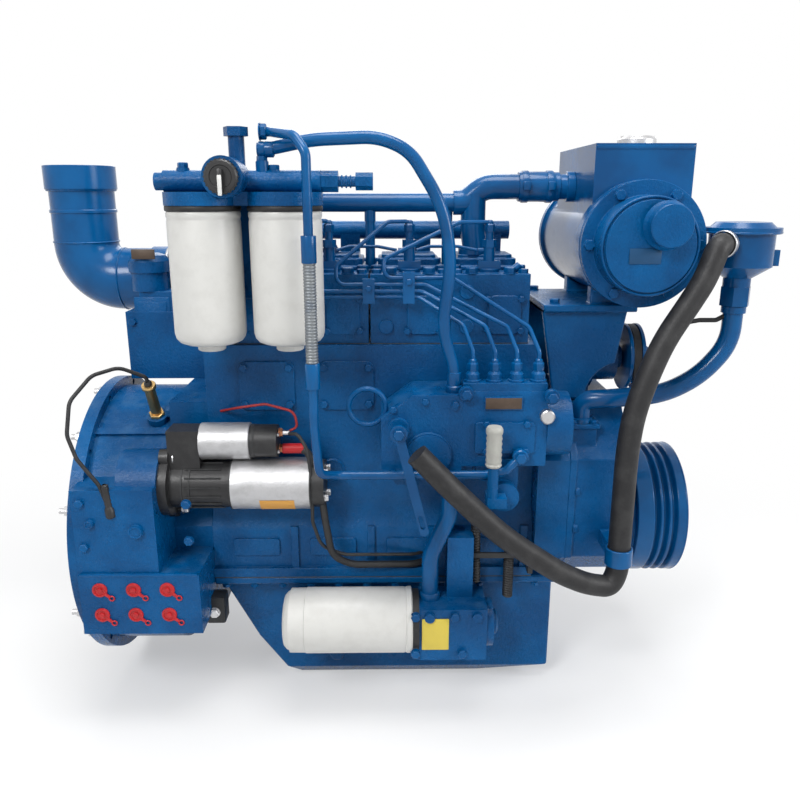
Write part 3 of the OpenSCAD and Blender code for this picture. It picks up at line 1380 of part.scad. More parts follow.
// Dipstick in its tube on the timing case
module dipstick() {
    color(steel) {
        z_cyl(stick_r, stick_low + over, stick_top + over, stick_x, stick_y);
        z_cyl(tube_r + 1, stick_top, stick_top + plate_t, stick_x, stick_y);
        translate([stick_x, stick_y, stick_top + plate_t + 10]) rotate([90, 0, 0])
            rotate_extrude() translate([10, 0]) circle(stick_r);
    }
}

cylinder_block();
oil_sump();
flywheel_housing();
fixed_bolts();
pad_caps();
timing_case();
timing_cover();
head(0);  // head_1
head(1);  // head_2
head(2);  // head_3
head(3);  // head_4
rocker_covers();
injectors();
injection_line(0);  // injection_line_1
injection_line(1);  // injection_line_2
injection_line(2);  // injection_line_3
injection_line(3);  // injection_line_4
line_clamps();
injection_pump();
governor_housing();
feed_pump();
filter_head();
fuel_filter(0);  // fuel_filter_1
fuel_filter(1);  // fuel_filter_2
fuel_pipe();
fuel_hose();
coolant_rail();
coolant_pipe();
intake_manifold();
exhaust_manifold();
turbocharger();
exhaust_elbow();
header_tank();
exchanger_cover();
tank_bracket();
breather();
breather_pipe();
breather_hose();
hose_clips();
water_pump();
alternator();
drive_belt();
starter_motor();
starter_solenoid();
oil_filter();
oil_filter_head();
oil_pipe();
speed_sensor();
crankshaft();
flywheel();
ring_gear();
crank_pulley();
water_pump_pulley();
alternator_pulley();
turbo_rotor();
throttle_lever();
changeover_lever();
primer_plunger();
filler_cap();
dipstick();
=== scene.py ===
# Marine diesel engine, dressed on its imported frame. Everything is in metres, in the CAD's frame:
# the origin on the crank axis at the rear flange, +X to the pulley, -Y to the pump side, +Z up.
import math

import bmesh
import bpy
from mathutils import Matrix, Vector


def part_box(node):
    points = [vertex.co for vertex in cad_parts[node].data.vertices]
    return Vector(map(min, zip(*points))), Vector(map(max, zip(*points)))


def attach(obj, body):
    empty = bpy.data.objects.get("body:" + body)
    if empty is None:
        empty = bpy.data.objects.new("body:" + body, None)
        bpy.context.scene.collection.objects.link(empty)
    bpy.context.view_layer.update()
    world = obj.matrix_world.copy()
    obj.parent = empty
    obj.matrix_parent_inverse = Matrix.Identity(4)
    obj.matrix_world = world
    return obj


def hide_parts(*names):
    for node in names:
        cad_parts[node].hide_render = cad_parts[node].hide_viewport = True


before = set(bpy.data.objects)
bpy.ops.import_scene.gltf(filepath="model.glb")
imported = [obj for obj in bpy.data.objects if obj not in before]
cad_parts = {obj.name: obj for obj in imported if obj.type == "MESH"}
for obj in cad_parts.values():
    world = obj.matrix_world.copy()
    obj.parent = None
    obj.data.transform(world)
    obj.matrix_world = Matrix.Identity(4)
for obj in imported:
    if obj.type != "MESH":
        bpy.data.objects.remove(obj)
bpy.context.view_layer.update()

# Camera at the photograph's place: a little above the engine, on the injection pump's side,
# opposite the middle of the block.
camera_data = bpy.data.cameras.new("photo_camera")
camera_data.lens, camera_data.sensor_width = 33.75, 36.0
camera_data.clip_start, camera_data.clip_end = 0.05, 50.0
camera = bpy.data.objects.new("photo_camera", camera_data)
camera.location = (0.496, -1.297, 0.559)
camera.rotation_euler = (math.radians(74.71), 0.0, math.radians(-0.764))
bpy.context.scene.collection.objects.link(camera)
bpy.context.scene.camera = camera

# Studio: a pale floor under the sump that turns white away from the shadow, a white surround
# that the metal also mirrors, and soft lamps (place, width, watts) near, over, ahead and behind.
scene = bpy.context.scene
scene.view_settings.view_transform = "Standard"
FLOOR_Z = -0.286
FLOOR_GREY = 0.80
FLOOR_GLOW_NEAR = 0.42
GLOW_GROWS_FROM, GLOW_FULL_AT = 0.55, 1.5
FLOOR_HALF = 30.0
ENGINE_MIDDLE = 0.47
SURROUND_TINT = (0.93, 0.96, 1.0)
SURROUND_STRENGTH = 0.34


def backdrop_rays(tree):
    """1 for the rays that should meet the white background, 0 for those that light the engine."""
    rays = tree.nodes.new("ShaderNodeLightPath")
    seen = rays.outputs["Is Camera Ray"]
    for kind in ("Is Glossy Ray", "Is Transmission Ray"):
        either = tree.nodes.new("ShaderNodeMath")
        either.operation = "MAXIMUM"
        tree.links.new(seen, either.inputs[0])
        tree.links.new(rays.outputs[kind], either.inputs[1])
        seen = either.outputs[0]
    return seen


surround = bpy.data.worlds.new("surround")
surround.use_nodes = True
sky_tree = surround.node_tree
sky_tree.nodes.clear()
room, white = (sky_tree.nodes.new("ShaderNodeBackground") for _ in range(2))
room.inputs["Color"].default_value = (*SURROUND_TINT, 1.0)
room.inputs["Strength"].default_value = SURROUND_STRENGTH
white.inputs["Color"].default_value = (1.0, 1.0, 1.0, 1.0)
sky_mix = sky_tree.nodes.new("ShaderNodeMixShader")
sky_tree.links.new(backdrop_rays(sky_tree), sky_mix.inputs["Fac"])
sky_tree.links.new(room.outputs[0], sky_mix.inputs[1])
sky_tree.links.new(white.outputs[0], sky_mix.inputs[2])
sky_out = sky_tree.nodes.new("ShaderNodeOutputWorld")
sky_tree.links.new(sky_mix.outputs[0], sky_out.inputs["Surface"])
scene.world = surround

floor_mesh = bpy.data.meshes.new("floor")
floor_mesh.from_pydata([(x * FLOOR_HALF, y * FLOOR_HALF, 0.0)
                        for x, y in ((-1, -1), (1, -1), (1, 1), (-1, 1))], [], [(0, 1, 2, 3)])
floor = bpy.data.objects.new("floor", floor_mesh)
floor.location = (ENGINE_MIDDLE, 0.0, FLOOR_Z)
scene.collection.objects.link(floor)
floor_look = bpy.data.materials.new("pale_floor")
floor_look.use_nodes = True
floor_tree = floor_look.node_tree
paper = floor_tree.nodes["Principled BSDF"]
paper.inputs["Base Color"].default_value = (FLOOR_GREY, FLOOR_GREY, FLOOR_GREY, 1.0)
paper.inputs["Roughness"].default_value = 0.95
paper.inputs["Specular IOR Level"].default_value = 0.0
glow = floor_tree.nodes.new("ShaderNodeEmission")
place_on_floor = floor_tree.nodes.new("ShaderNodeTexCoord")
away = floor_tree.nodes.new("ShaderNodeVectorMath")
away.operation = "LENGTH"
floor_tree.links.new(place_on_floor.outputs["Object"], away.inputs[0])
fade = floor_tree.nodes.new("ShaderNodeMapRange")
fade.interpolation_type = "SMOOTHSTEP"
floor_tree.links.new(away.outputs["Value"], fade.inputs["Value"])
for socket, number in (("From Min", GLOW_GROWS_FROM), ("From Max", GLOW_FULL_AT),
                       ("To Min", FLOOR_GLOW_NEAR), ("To Max", 1.0)):
    fade.inputs[socket].default_value = number
glow_share = floor_tree.nodes.new("ShaderNodeMath")
glow_share.operation = "MULTIPLY"
floor_tree.links.new(fade.outputs["Result"], glow_share.inputs[0])
floor_tree.links.new(backdrop_rays(floor_tree), glow_share.inputs[1])
floor_mix = floor_tree.nodes.new("ShaderNodeMixShader")
floor_tree.links.new(glow_share.outputs[0], floor_mix.inputs["Fac"])
floor_tree.links.new(paper.outputs[0], floor_mix.inputs[1])
floor_tree.links.new(glow.outputs[0], floor_mix.inputs[2])
floor_tree.links.new(floor_mix.outputs[0], floor_tree.nodes["Material Output"].inputs["Surface"])
floor_mesh.materials.append(floor_look)

AIM = Vector((ENGINE_MIDDLE, 0.0, 0.15))
for lamp_name, place, size, power in (
        ("near_softbox", (-0.9, -2.4, 2.2), 0.9, 62.0),
        ("top_softbox", (0.7, -0.5, 2.8), 1.4, 64.0),
        ("front_softbox", (3.0, -1.2, 1.2), 0.9, 36.0),
        ("back_softbox", (0.2, 2.8, 2.0), 2.0, 36.0)):
    lamp_data = bpy.data.lights.new(lamp_name, "AREA")
    lamp_data.size, lamp_data.energy = size, power
    lamp = bpy.data.objects.new(lamp_name, lamp_data)
    lamp.location = place
    lamp.rotation_euler = (AIM - Vector(place)).to_track_quat("-Z", "Y").to_euler()
    scene.collection.objects.link(lamp)

# Cylinder block: one grey iron casting, sprayed with a coat of marine blue over its sand-cast
# skin. Dust lies on what faces up, and the coat is thinner on some places than on others.
BLUE = (0.0, 0.0830, 0.2450)
BLUE_THIN = (0.0, 0.0520, 0.1650)
DUST = (0.050, 0.125, 0.235)
SKIN_DEPTH = 0.0009
COAT_PATCH, DUST_PATCH, GLOSS_PATCH, ORANGE_PEEL = 9.0, 38.0, 60.0, 650.0
DUST_DULLS, GLOSS_VARIES, PEEL_HEIGHT = 0.35, 0.12, 0.10
SEAM_GAP = 0.00002
FLAT_WITHIN = math.radians(1.5)
EDGE_FROM = math.radians(34.0)
NEAR, FAR, UP, DOWN, AHEAD, BACK = ((0, -1, 0), (0, 1, 0), (0, 0, 1), (0, 0, -1), (1, 0, 0),
                                    (-1, 0, 0))


def effect_group(name, inputs, outputs):
    """A node group with those sockets, and its own input and output nodes."""
    group = bpy.data.node_groups.new(name, "ShaderNodeTree")
    for label, kind, value in inputs:
        socket = group.interface.new_socket(label, in_out="INPUT", socket_type=kind)
        socket.default_value = value
    for label, kind in outputs:
        group.interface.new_socket(label, in_out="OUTPUT", socket_type=kind)
    return (group, group.nodes.new("NodeGroupInput"), group.nodes.new("NodeGroupOutput"))


def noise(group, scale, detail=3.0, rough=0.55):
    """A cloud pattern, scale times across a metre of the engine."""
    where = group.nodes.new("ShaderNodeTexCoord")
    cloud = group.nodes.new("ShaderNodeTexNoise")
    cloud.inputs["Detail"].default_value = detail
    cloud.inputs["Roughness"].default_value = rough
    group.links.new(where.outputs["Object"], cloud.inputs["Vector"])
    if isinstance(scale, float):
        cloud.inputs["Scale"].default_value = scale
    else:
        group.links.new(scale, cloud.inputs["Scale"])
    return cloud.outputs["Fac"]


def math_node(group, operation, *values):
    """A Math node on numbers or sockets."""
    node = group.nodes.new("ShaderNodeMath")
    node.operation = operation
    for slot, value in zip(node.inputs, values):
        if isinstance(value, (int, float)):
            slot.default_value = value
        else:
            group.links.new(value, slot)
    return node.outputs[0]


def stepped(group, value, low, high):
    """Rises smoothly from 0 where value is low to 1 where it is high."""
    node = group.nodes.new("ShaderNodeMapRange")
    node.interpolation_type = "SMOOTHSTEP"
    group.links.new(value, node.inputs["Value"])
    node.inputs["From Min"].default_value = low
    node.inputs["From Max"].default_value = high
    return node.outputs["Result"]


def mixed(group, share, first, second):
    """Goes from the first colour to the second as share goes from 0 to 1."""
    node = group.nodes.new("ShaderNodeMix")
    node.data_type = "RGBA"
    for slot, value in ((node.inputs[0], share), (node.inputs[6], first), (node.inputs[7], second)):
        if isinstance(value, (tuple, float)):
            slot.default_value = value
        else:
            group.links.new(value, slot)
    return node.outputs[2]


paint_film, film_in, film_out = effect_group(
    "paint_film",
    [("Colour", "NodeSocketColor", (*BLUE, 1.0)),
     ("Thin Coat", "NodeSocketColor", (*BLUE_THIN, 1.0)), ("Dust", "NodeSocketFloat", 0.3),
     ("Gloss Roughness", "NodeSocketFloat", 0.25), ("Skin Scale", "NodeSocketFloat", 160.0),
     ("Skin Height", "NodeSocketFloat", 0.5)],
    [("Colour", "NodeSocketColor"), ("Roughness", "NodeSocketFloat"),
     ("Height", "NodeSocketFloat")])
coat = stepped(paint_film, noise(paint_film, COAT_PATCH, 4.0), 0.35, 0.68)
facing = paint_film.nodes.new("ShaderNodeNewGeometry")
up = paint_film.nodes.new("ShaderNodeSeparateXYZ")
paint_film.links.new(facing.outputs["Normal"], up.inputs[0])
settled = math_node(paint_film, "MULTIPLY", stepped(paint_film, up.outputs["Z"], 0.35, 0.95),
                    stepped(paint_film, noise(paint_film, DUST_PATCH, 5.0, 0.65), 0.42, 0.72))
settled = math_node(paint_film, "MULTIPLY", settled, film_in.outputs["Dust"])
film = mixed(paint_film, coat, film_in.outputs["Thin Coat"], film_in.outputs["Colour"])
paint_film.links.new(mixed(paint_film, settled, film, (*DUST, 1.0)), film_out.inputs["Colour"])
gloss = math_node(paint_film, "MULTIPLY_ADD", settled, DUST_DULLS,
                  film_in.outputs["Gloss Roughness"])
gloss = math_node(paint_film, "MULTIPLY_ADD", noise(paint_film, GLOSS_PATCH, 3.0), GLOSS_VARIES,
                  gloss)
paint_film.links.new(gloss, film_out.inputs["Roughness"])
skin = math_node(paint_film, "MULTIPLY", noise(paint_film, film_in.outputs["Skin Scale"], 4.0, 0.6),
                 film_in.outputs["Skin Height"])
peel = math_node(paint_film, "MULTIPLY_ADD", noise(paint_film, ORANGE_PEEL, 1.0), PEEL_HEIGHT,
                 skin)
paint_film.links.new(peel, film_out.inputs["Height"])


def shader(name, effect, values, bump_distance, **sockets):
    """A material whose colour, roughness and bump come from the effect group with its values."""
    look = bpy.data.materials.new(name)
    look.use_nodes = True
    tree = look.node_tree
    surface = tree.nodes["Principled BSDF"]
    for label, value in sockets.items():
        surface.inputs[label.replace("_", " ")].default_value = value
    group = tree.nodes.new("ShaderNodeGroup")
    group.node_tree = effect
    for label, value in values.items():
        group.inputs[label].default_value = (*value, 1.0) if isinstance(value, tuple) else value
    tree.links.new(group.outputs["Colour"], surface.inputs["Base Color"])
    tree.links.new(group.outputs["Roughness"], surface.inputs["Roughness"])
    bump = tree.nodes.new("ShaderNodeBump")
    bump.inputs["Distance"].default_value = bump_distance
    tree.links.new(group.outputs["Height"], bump.inputs["Height"])
    tree.links.new(bump.outputs["Normal"], surface.inputs["Normal"])
    return look


blue_casting = shader("blue_casting", paint_film,
                      {"Skin Scale": 230.0, "Skin Height": 1.0, "Dust": 0.42,
                       "Gloss Roughness": 0.22}, SKIN_DEPTH, IOR=1.28)


def dressed(name, soft=0.0018, looks=(blue_casting,), split=None):
    """Rounds the edges of a CAD node and gives it its finish; split says which faces get which."""
    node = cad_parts[name]
    mesh = node.data
    if "custom_normal" in mesh.attributes:
        mesh.attributes.remove(mesh.attributes["custom_normal"])
    mesh.shade_smooth()
    mesh.materials.clear()
    for look in looks:
        mesh.materials.append(look)
    for face in mesh.polygons:
        face.material_index = split(face.center) if split else 0
    weld = node.modifiers.new("seams", "WELD")
    weld.merge_threshold = SEAM_GAP
    flat = node.modifiers.new("faces", "DECIMATE")
    flat.decimate_type, flat.angle_limit = "DISSOLVE", FLAT_WITHIN
    flat.delimit = {"MATERIAL"}
    edge = node.modifiers.new("edges", "BEVEL")
    edge.width, edge.segments, edge.limit_method = soft, 2, "ANGLE"
    edge.angle_limit, edge.harden_normals = EDGE_FROM, True
    even = node.modifiers.new("shading", "WEIGHTED_NORMAL")
    even.keep_sharp = True
    return node


def turned(bm, profile, place, axis=UP, sides=40, look=0):
    """Adds a revolved profile of (radius, height) steps that stands on place along axis."""
    turn = Vector(UP).rotation_difference(Vector(axis)).to_matrix()
    rings = []
    for radius, height in profile:
        if radius == 0:
            rings.append([bm.verts.new(Vector(place) + turn @ Vector((0, 0, height)))])
            continue
        angles = [2 * math.pi * k / sides for k in range(sides)]
        rings.append([bm.verts.new(Vector(place) + turn @ Vector(
            (radius * math.cos(a), radius * math.sin(a), height))) for a in angles])
    for lower, upper in zip(rings, rings[1:]):
        if len(lower) == len(upper) == 1:
            continue
        for k in range(sides):
            a, b = lower[k % len(lower)], lower[(k + 1) % len(lower)]
            c, d = upper[(k + 1) % len(upper)], upper[k % len(upper)]
            corners = [v for n, v in enumerate((a, b, c, d)) if v not in (a, b, c, d)[:n]]
            bm.faces.new(corners).material_index = look


def hex_head(bm, place, axis, across, height, look=0):
    """A bolt head with its washer face and chamfered corners; across is over the corners."""
    r = across / 2
    turned(bm, [(0, 0), (r * 1.12, 0), (r * 1.12, height * 0.16), (0, height * 0.16)], place,
           axis, 24, look)
    turned(bm, [(0, height * 0.16), (r * 0.97, height * 0.16), (r, height * 0.24),
                (r, height * 0.86), (r * 0.86, height), (0, height)], place, axis, 6, look)


def block(bm, low, high, soft=0.0015, look=0):
    """Adds a box with rounded edges between two corners."""
    low, high = Vector(low), Vector(high)
    grown = bmesh.ops.create_cube(bm, size=1.0)["verts"]
    for v in grown:
        v.co = Vector([(a + b) / 2 + c * (b - a) for a, b, c in zip(low, high, v.co)])
    edges = {e for v in grown for e in v.link_edges}
    for f in {f for v in grown for f in v.link_faces}:
        f.material_index = look
    bmesh.ops.bevel(bm, geom=list(edges), offset=soft, segments=2, affect="EDGES",
                    profile=0.5, clamp_overlap=True, material=look)


def made(name, bm, looks, body="engine", stands_for=(), crease=36.0):
    """Turns the built mesh into a piece that rides on a body and has its finishes."""
    bmesh.ops.recalc_face_normals(bm, faces=bm.faces)
    mesh = bpy.data.meshes.new(name)
    bm.to_mesh(mesh)
    bm.free()
    mesh.shade_smooth()
    mesh.set_sharp_from_angle(angle=math.radians(crease))
    for look in looks:
        mesh.materials.append(look)
    piece = bpy.data.objects.new(name, mesh)
    scene.collection.objects.link(piece)
    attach(piece, body)
    if stands_for:
        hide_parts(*stands_for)
    return piece


dressed("cylinder_block", 0.0035)
block_low, block_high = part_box("cylinder_block")
CYLINDERS = (0.273, 0.400, 0.527, 0.654)
BLOCK_SIDE = -0.132
DOOR_OFF, DOOR_Z, DOOR_HALF_W, DOOR_HALF_H = 0.0254, 0.264, 0.036, 0.030
CORE_Y, CORE_Z = 0.128, 0.120
CORE_PLUG = [(0, 0), (0.021, 0), (0.021, 0.002), (0.018, 0.0035), (0.017, 0.0015), (0, 0.001)]
cover_bolts = bmesh.new()
for cylinder in CYLINDERS[:2]:
    for z in (DOOR_Z - DOOR_HALF_H, DOOR_Z + DOOR_HALF_H):
        for x in (DOOR_OFF - DOOR_HALF_W, DOOR_OFF + DOOR_HALF_W):
            hex_head(cover_bolts, (cylinder + x, BLOCK_SIDE, z), NEAR, 0.013, 0.006)
for cylinder in CYLINDERS:
    for side in (-1, 1):
        turned(cover_bolts, CORE_PLUG, (cylinder, side * CORE_Y, CORE_Z), (0, side, 0), 32)
made("block_cover_bolts", cover_bolts, (blue_casting,))

# Oil sump: a deep cast tub, sprayed with the engine, that hangs from the block by a row of small
# flanged bolts through its rail.
dressed("oil_sump", 0.0035)
_, sump_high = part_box("oil_sump")
RAIL_BOLT_PITCH, RAIL_MARGIN, RAIL_Y, RAIL_DEPTH = 0.0475, 0.018, 0.150, 0.014
rail_bolts = bmesh.new()
for k in range(int((sump_high.x - block_low.x - 0.03) / RAIL_BOLT_PITCH) + 1):
    for side in (-1, 1):
        hex_head(rail_bolts, (block_low.x + RAIL_MARGIN + k * RAIL_BOLT_PITCH, side * RAIL_Y,
                              sump_high.z - RAIL_DEPTH), DOWN, 0.014, 0.007)
made("sump_rail_bolts", rail_bolts, (blue_casting,))

# Gaskets: thin grey sheets that show along the joints of the heads and of the sump. Their look
# uses the group of the bare metals: fine tool marks, and some oil over them.
METAL_STAIN, STAIN_PATCH, MARKS_DULL = (0.3, 0.28, 0.26, 1.0), 45.0, 0.2
turned_metal, metal_in, metal_out = effect_group(
    "turned_metal",
    [("Colour", "NodeSocketColor", (0.6, 0.6, 0.6, 1.0)), ("Stain", "NodeSocketColor", METAL_STAIN),
     ("Stain Share", "NodeSocketFloat", 0.3), ("Base Roughness", "NodeSocketFloat", 0.3),
     ("Grain Scale", "NodeSocketFloat", 400.0)],
    [("Colour", "NodeSocketColor"), ("Roughness", "NodeSocketFloat"),
     ("Height", "NodeSocketFloat")])
oil_stain = math_node(turned_metal, "MULTIPLY",
                      stepped(turned_metal, noise(turned_metal, STAIN_PATCH, 5.0, 0.6), 0.42, 0.7),
                      metal_in.outputs["Stain Share"])
turned_metal.links.new(mixed(turned_metal, oil_stain, metal_in.outputs["Colour"],
                             metal_in.outputs["Stain"]), metal_out.inputs["Colour"])
marks = noise(turned_metal, metal_in.outputs["Grain Scale"], 2.0)
turned_metal.links.new(math_node(turned_metal, "MULTIPLY_ADD", marks, MARKS_DULL,
                                 metal_in.outputs["Base Roughness"]), metal_out.inputs["Roughness"])
turned_metal.links.new(marks, metal_out.inputs["Height"])


def surface_of(name, colour, stain, rough, share=0.3, grain=400.0, height=0.00015, **sockets):
    """A metal, plastic or rubber: its colour, the stain over a share of it, and its roughness."""
    return shader(name, turned_metal, {"Colour": colour, "Stain": stain, "Stain Share": share,
                                       "Base Roughness": rough, "Grain Scale": grain}, height,
                  **sockets)


gasket_grey = surface_of("gasket_grey", (0.045, 0.050, 0.055), (0.02, 0.02, 0.02), 0.6, 0.5, 300.0)
HEAD_HALF_L, HEAD_HALF_W, SUMP_HALF_W = 0.0628, 0.1213, 0.1586
HEAD_JOINT, SUMP_JOINT, GASKET_EDGE = (0.3302, 0.3314), (-0.0608, -0.0594), 0.0003
gaskets = bmesh.new()
for cylinder in CYLINDERS:
    block(gaskets, (cylinder - HEAD_HALF_L, -HEAD_HALF_W, HEAD_JOINT[0]),
          (cylinder + HEAD_HALF_L, HEAD_HALF_W, HEAD_JOINT[1]), GASKET_EDGE)
block(gaskets, (block_low.x + 0.001, -SUMP_HALF_W, SUMP_JOINT[0]),
      (block_high.x, SUMP_HALF_W, SUMP_JOINT[1]), GASKET_EDGE)
made("gaskets", gaskets, (gasket_grey,))

# Flywheel housing: a deep bell casting with its rear flange, foot pads and plugs. Bolts hold it
# to the block, and studs with plain nuts stand in the flange.
bare_steel = surface_of("bare_steel", (0.58, 0.58, 0.59), (0.32, 0.29, 0.26), 0.24, Metallic=1.0)
dressed("flywheel_housing", 0.0030)
dressed("fixed_bolts", 0.0006, (bare_steel, blue_casting), lambda centre: int(centre.x > 0.1))
PAD_FACE, UPPER_FACE = -0.250, -0.245
BELL_BACK, BELL_BOLT_Z = 0.139, 0.216
PAD_RIB_IN, PAD_RIB_OUT = 0.2448, 0.2510
housing_bolts = bmesh.new()
for y in (-0.112, -0.060, 0.060, 0.112):
    hex_head(housing_bolts, (BELL_BACK, y, BELL_BOLT_Z), BACK, 0.020, 0.009)
for x, z in ((0.188, 0.110), (0.188, 0.050), (0.028, 0.040), (0.028, 0.112)):
    hex_head(housing_bolts, (x, UPPER_FACE, z), NEAR, 0.014, 0.006)
for x, z, radius in ((0.109, 0.066, 0.0085), (0.040, 0.079, 0.005)):
    turned(housing_bolts, [(0, -0.001), (radius * 1.2, -0.001), (radius * 1.2, 0.0015),
                           (radius, 0.002), (radius * 0.9, 0.0005), (0, 0.0008)],
           (x, PAD_FACE, z), NEAR, 32)
for low_y, high_y in ((-PAD_RIB_OUT, -PAD_RIB_IN), (PAD_RIB_IN, PAD_RIB_OUT)):
    block(housing_bolts, (0.016, low_y, -0.0085), (0.198, high_y, -0.0035), 0.0018)
made("housing_bolts", housing_bolts, (blue_casting,))

# Pad plugs: soft red plastic, pushed into the six tapped holes of the near foot pad. Each has a
# round flange and a pull strap that ends in a small ring.
red_plastic = surface_of("red_plastic", (0.42, 0.010, 0.013), (0.22, 0.008, 0.010), 0.30, 0.3,
                         300.0, 0.0002, Specular_IOR_Level=0.4)
PAD_COLUMNS, PAD_ROWS = (0.046, 0.098, 0.150), (-0.030, -0.073)
PLUG = [(0.0074, -0.010), (0.0076, 0), (0.0115, 0), (0.0118, 0.0012), (0.0112, 0.0026),
        (0.0085, 0.0030), (0.0080, 0.0018), (0.0045, 0.0016), (0.0040, 0.0034), (0.0, 0.0040)]
STRAP_ANGLE = math.radians(-38)
STRAP_TIP, STRAP_THICK = 0.0195, 0.0016
STRAP_CORNERS = ((0.0105, -0.0026), (0.0105, 0.0026), (STRAP_TIP, 0.0018), (STRAP_TIP, -0.0018))
BOX_SIDES = ((0, 1, 2, 3), (7, 6, 5, 4), (0, 4, 5, 1), (1, 5, 6, 2), (2, 6, 7, 3), (3, 7, 4, 0))


def ring(bm, place, axis, radius, thick, look=0, around=28, across=10):
    """Adds a round ring of round wire."""
    turned(bm, [(radius + thick * math.cos(a), thick * math.sin(a))
                for a in (2 * math.pi * k / across for k in range(across + 1))], place, axis,
           around, look)


strap_way = Vector((math.cos(STRAP_ANGLE), 0, math.sin(STRAP_ANGLE)))
strap_side = Vector((-strap_way.z, 0, strap_way.x))
plugs = bmesh.new()
for x in PAD_COLUMNS:
    for z in PAD_ROWS:
        turned(plugs, PLUG, (x, PAD_FACE, z), NEAR, 36)
        root = Vector((x, PAD_FACE - 0.0012, z))
        corners = [plugs.verts.new(root + strap_way * along + strap_side * wide
                                   + Vector((0, lift, 0)))
                   for lift in (0.0, -STRAP_THICK)
                   for along, wide in STRAP_CORNERS]
        for side in BOX_SIDES:
            plugs.faces.new([corners[n] for n in side])
        ring(plugs, root + strap_way * (STRAP_TIP + 0.003) + Vector((0, -STRAP_THICK / 2, 0)), FAR,
             0.0038, 0.0011)
made("pad_plugs", plugs, (red_plastic,), stands_for=("pad_caps",))

# Cylinder heads: four separate iron castings, each held by bolts at its corners and sides, with
# machined port covers on the pump side and exhaust studs on the far side.
HEAD_TOP, PORT_FACE, PORT_MIDDLE, PORT_Z = 0.440, -0.125, 0.022, 0.3762
PORT_HALF_W, PORT_HALF_H = 0.026, 0.025
EXHAUST_FACE, EXHAUST_Z, EXHAUST_HALF = 0.120, 0.372, 0.046
HEAD_BOLTS = ((-0.052, -0.070), (0.052, -0.070), (-0.030, -0.112), (0.030, -0.112),
              (-0.052, 0.078), (0.052, 0.078))
head_bolts = bmesh.new()
for number, cylinder in enumerate(CYLINDERS, 1):
    dressed("head_%d" % number, 0.0030)
    for dx, y in HEAD_BOLTS:
        hex_head(head_bolts, (cylinder + dx, y, HEAD_TOP), UP, 0.019, 0.010)
    for z in (PORT_Z - PORT_HALF_H, PORT_Z + PORT_HALF_H):
        for x in (PORT_MIDDLE - PORT_HALF_W, PORT_MIDDLE + PORT_HALF_W):
            hex_head(head_bolts, (cylinder + x, PORT_FACE, z), NEAR, 0.011, 0.005)
    for dx in (-EXHAUST_HALF, EXHAUST_HALF):
        hex_head(head_bolts, (cylinder + dx, EXHAUST_FACE, EXHAUST_Z), FAR, 0.017, 0.012)
made("head_bolts", head_bolts, (blue_casting,))

# Rocker covers: low pressed lids over the valve gear, each held down by one cap nut on a sealing
# washer.
dressed("rocker_covers", 0.0026)
cover_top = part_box("rocker_covers")[1].z - 0.007
CAP_NUT = (([(0, 0), (0.014, 0), (0.014, 0.0015), (0, 0.0015)], 40),
           ([(0.0088, 0.0015), (0.0092, 0.0025), (0.0092, 0.008), (0.0075, 0.0095)], 6),
           ([(0.0075, 0.008), (0.0066, 0.0120), (0.0040, 0.0145), (0, 0.0152)], 24))
cap_nuts = bmesh.new()
for cylinder in CYLINDERS:
    for profile, sides in CAP_NUT:
        turned(cap_nuts, profile, (cylinder, 0.0025, cover_top), sides=sides)
made("rocker_cap_nuts", cap_nuts, (blue_casting,))

# Injectors: steel bodies painted with the engine, clamped in the heads, with a leak-off pipe from
# one nipple to the next. Sheet and tube take the paint smoother than the castings do.
blue_sheet = shader("blue_sheet", paint_film,
                    {"Skin Scale": 90.0, "Skin Height": 0.10, "Dust": 0.30,
                     "Gloss Roughness": 0.15}, 0.0005, IOR=1.34)
dressed("injectors", 0.0007, (blue_sheet,))
INJECTOR_Y, INJECTOR_TOP = -0.085, 0.503
NIPPLE_Z, LEAK_OFF_Z, LEAK_OFF_OUT, LEAK_OFF_R = 0.4745, 0.480, 0.004, 0.0026
ROUND_SHARE = 0.46
STRAIGHT = math.radians(89)


def rounded(points, bend, steps=7):
    """The route through the points with its corners turned into arcs of radius bend."""
    points = [Vector(p) for p in points]
    route = [points[0]]
    for before, at, after in zip(points, points[1:], points[2:]):
        u, v = (before - at).normalized(), (after - at).normalized()
        half = math.acos(max(-1.0, min(1.0, u.dot(v)))) / 2
        if half > STRAIGHT:
            route.append(at)
            continue
        reach = min(bend / math.tan(half),
                    ROUND_SHARE * min((before - at).length, (after - at).length))
        radius = reach * math.tan(half)
        centre = at + (u + v).normalized() * (radius / math.sin(half))
        first, last = at + u * reach - centre, at + v * reach - centre
        for n in range(steps + 1):
            route.append(centre + first.slerp(last, n / steps, last).normalized() * radius)
    return route + [points[-1]]


def pipe(name, points, radius, look, bend=0.02, stands_for=(), sides=6):
    """A drawn tube along the route, as one open spline with round bends."""
    curve = bpy.data.curves.new(name, "CURVE")
    curve.dimensions, curve.fill_mode = "3D", "FULL"
    curve.bevel_depth, curve.bevel_resolution, curve.use_fill_caps = radius, sides, True
    route = rounded(points, bend)
    spline = curve.splines.new("POLY")
    spline.points.add(len(route) - 1)
    for knot, spot in zip(spline.points, route):
        knot.co = (*spot, 1.0)
    spline.use_smooth = True
    curve.materials.append(look)
    piece = bpy.data.objects.new(name, curve)
    scene.collection.objects.link(piece)
    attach(piece, "engine")
    if stands_for:
        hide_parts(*stands_for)
    return piece


for number, (cylinder, after) in enumerate(zip(CYLINDERS, CYLINDERS[1:]), 1):
    start, end = cylinder + 0.012, after - 0.020
    pipe("leak_off_%d" % number,
         [(start, INJECTOR_Y, NIPPLE_Z), (start + 0.02, INJECTOR_Y + LEAK_OFF_OUT, LEAK_OFF_Z),
          (end - 0.03, INJECTOR_Y + LEAK_OFF_OUT, LEAK_OFF_Z), (end, INJECTOR_Y, NIPPLE_Z)],
         LEAK_OFF_R, blue_sheet, 0.012)

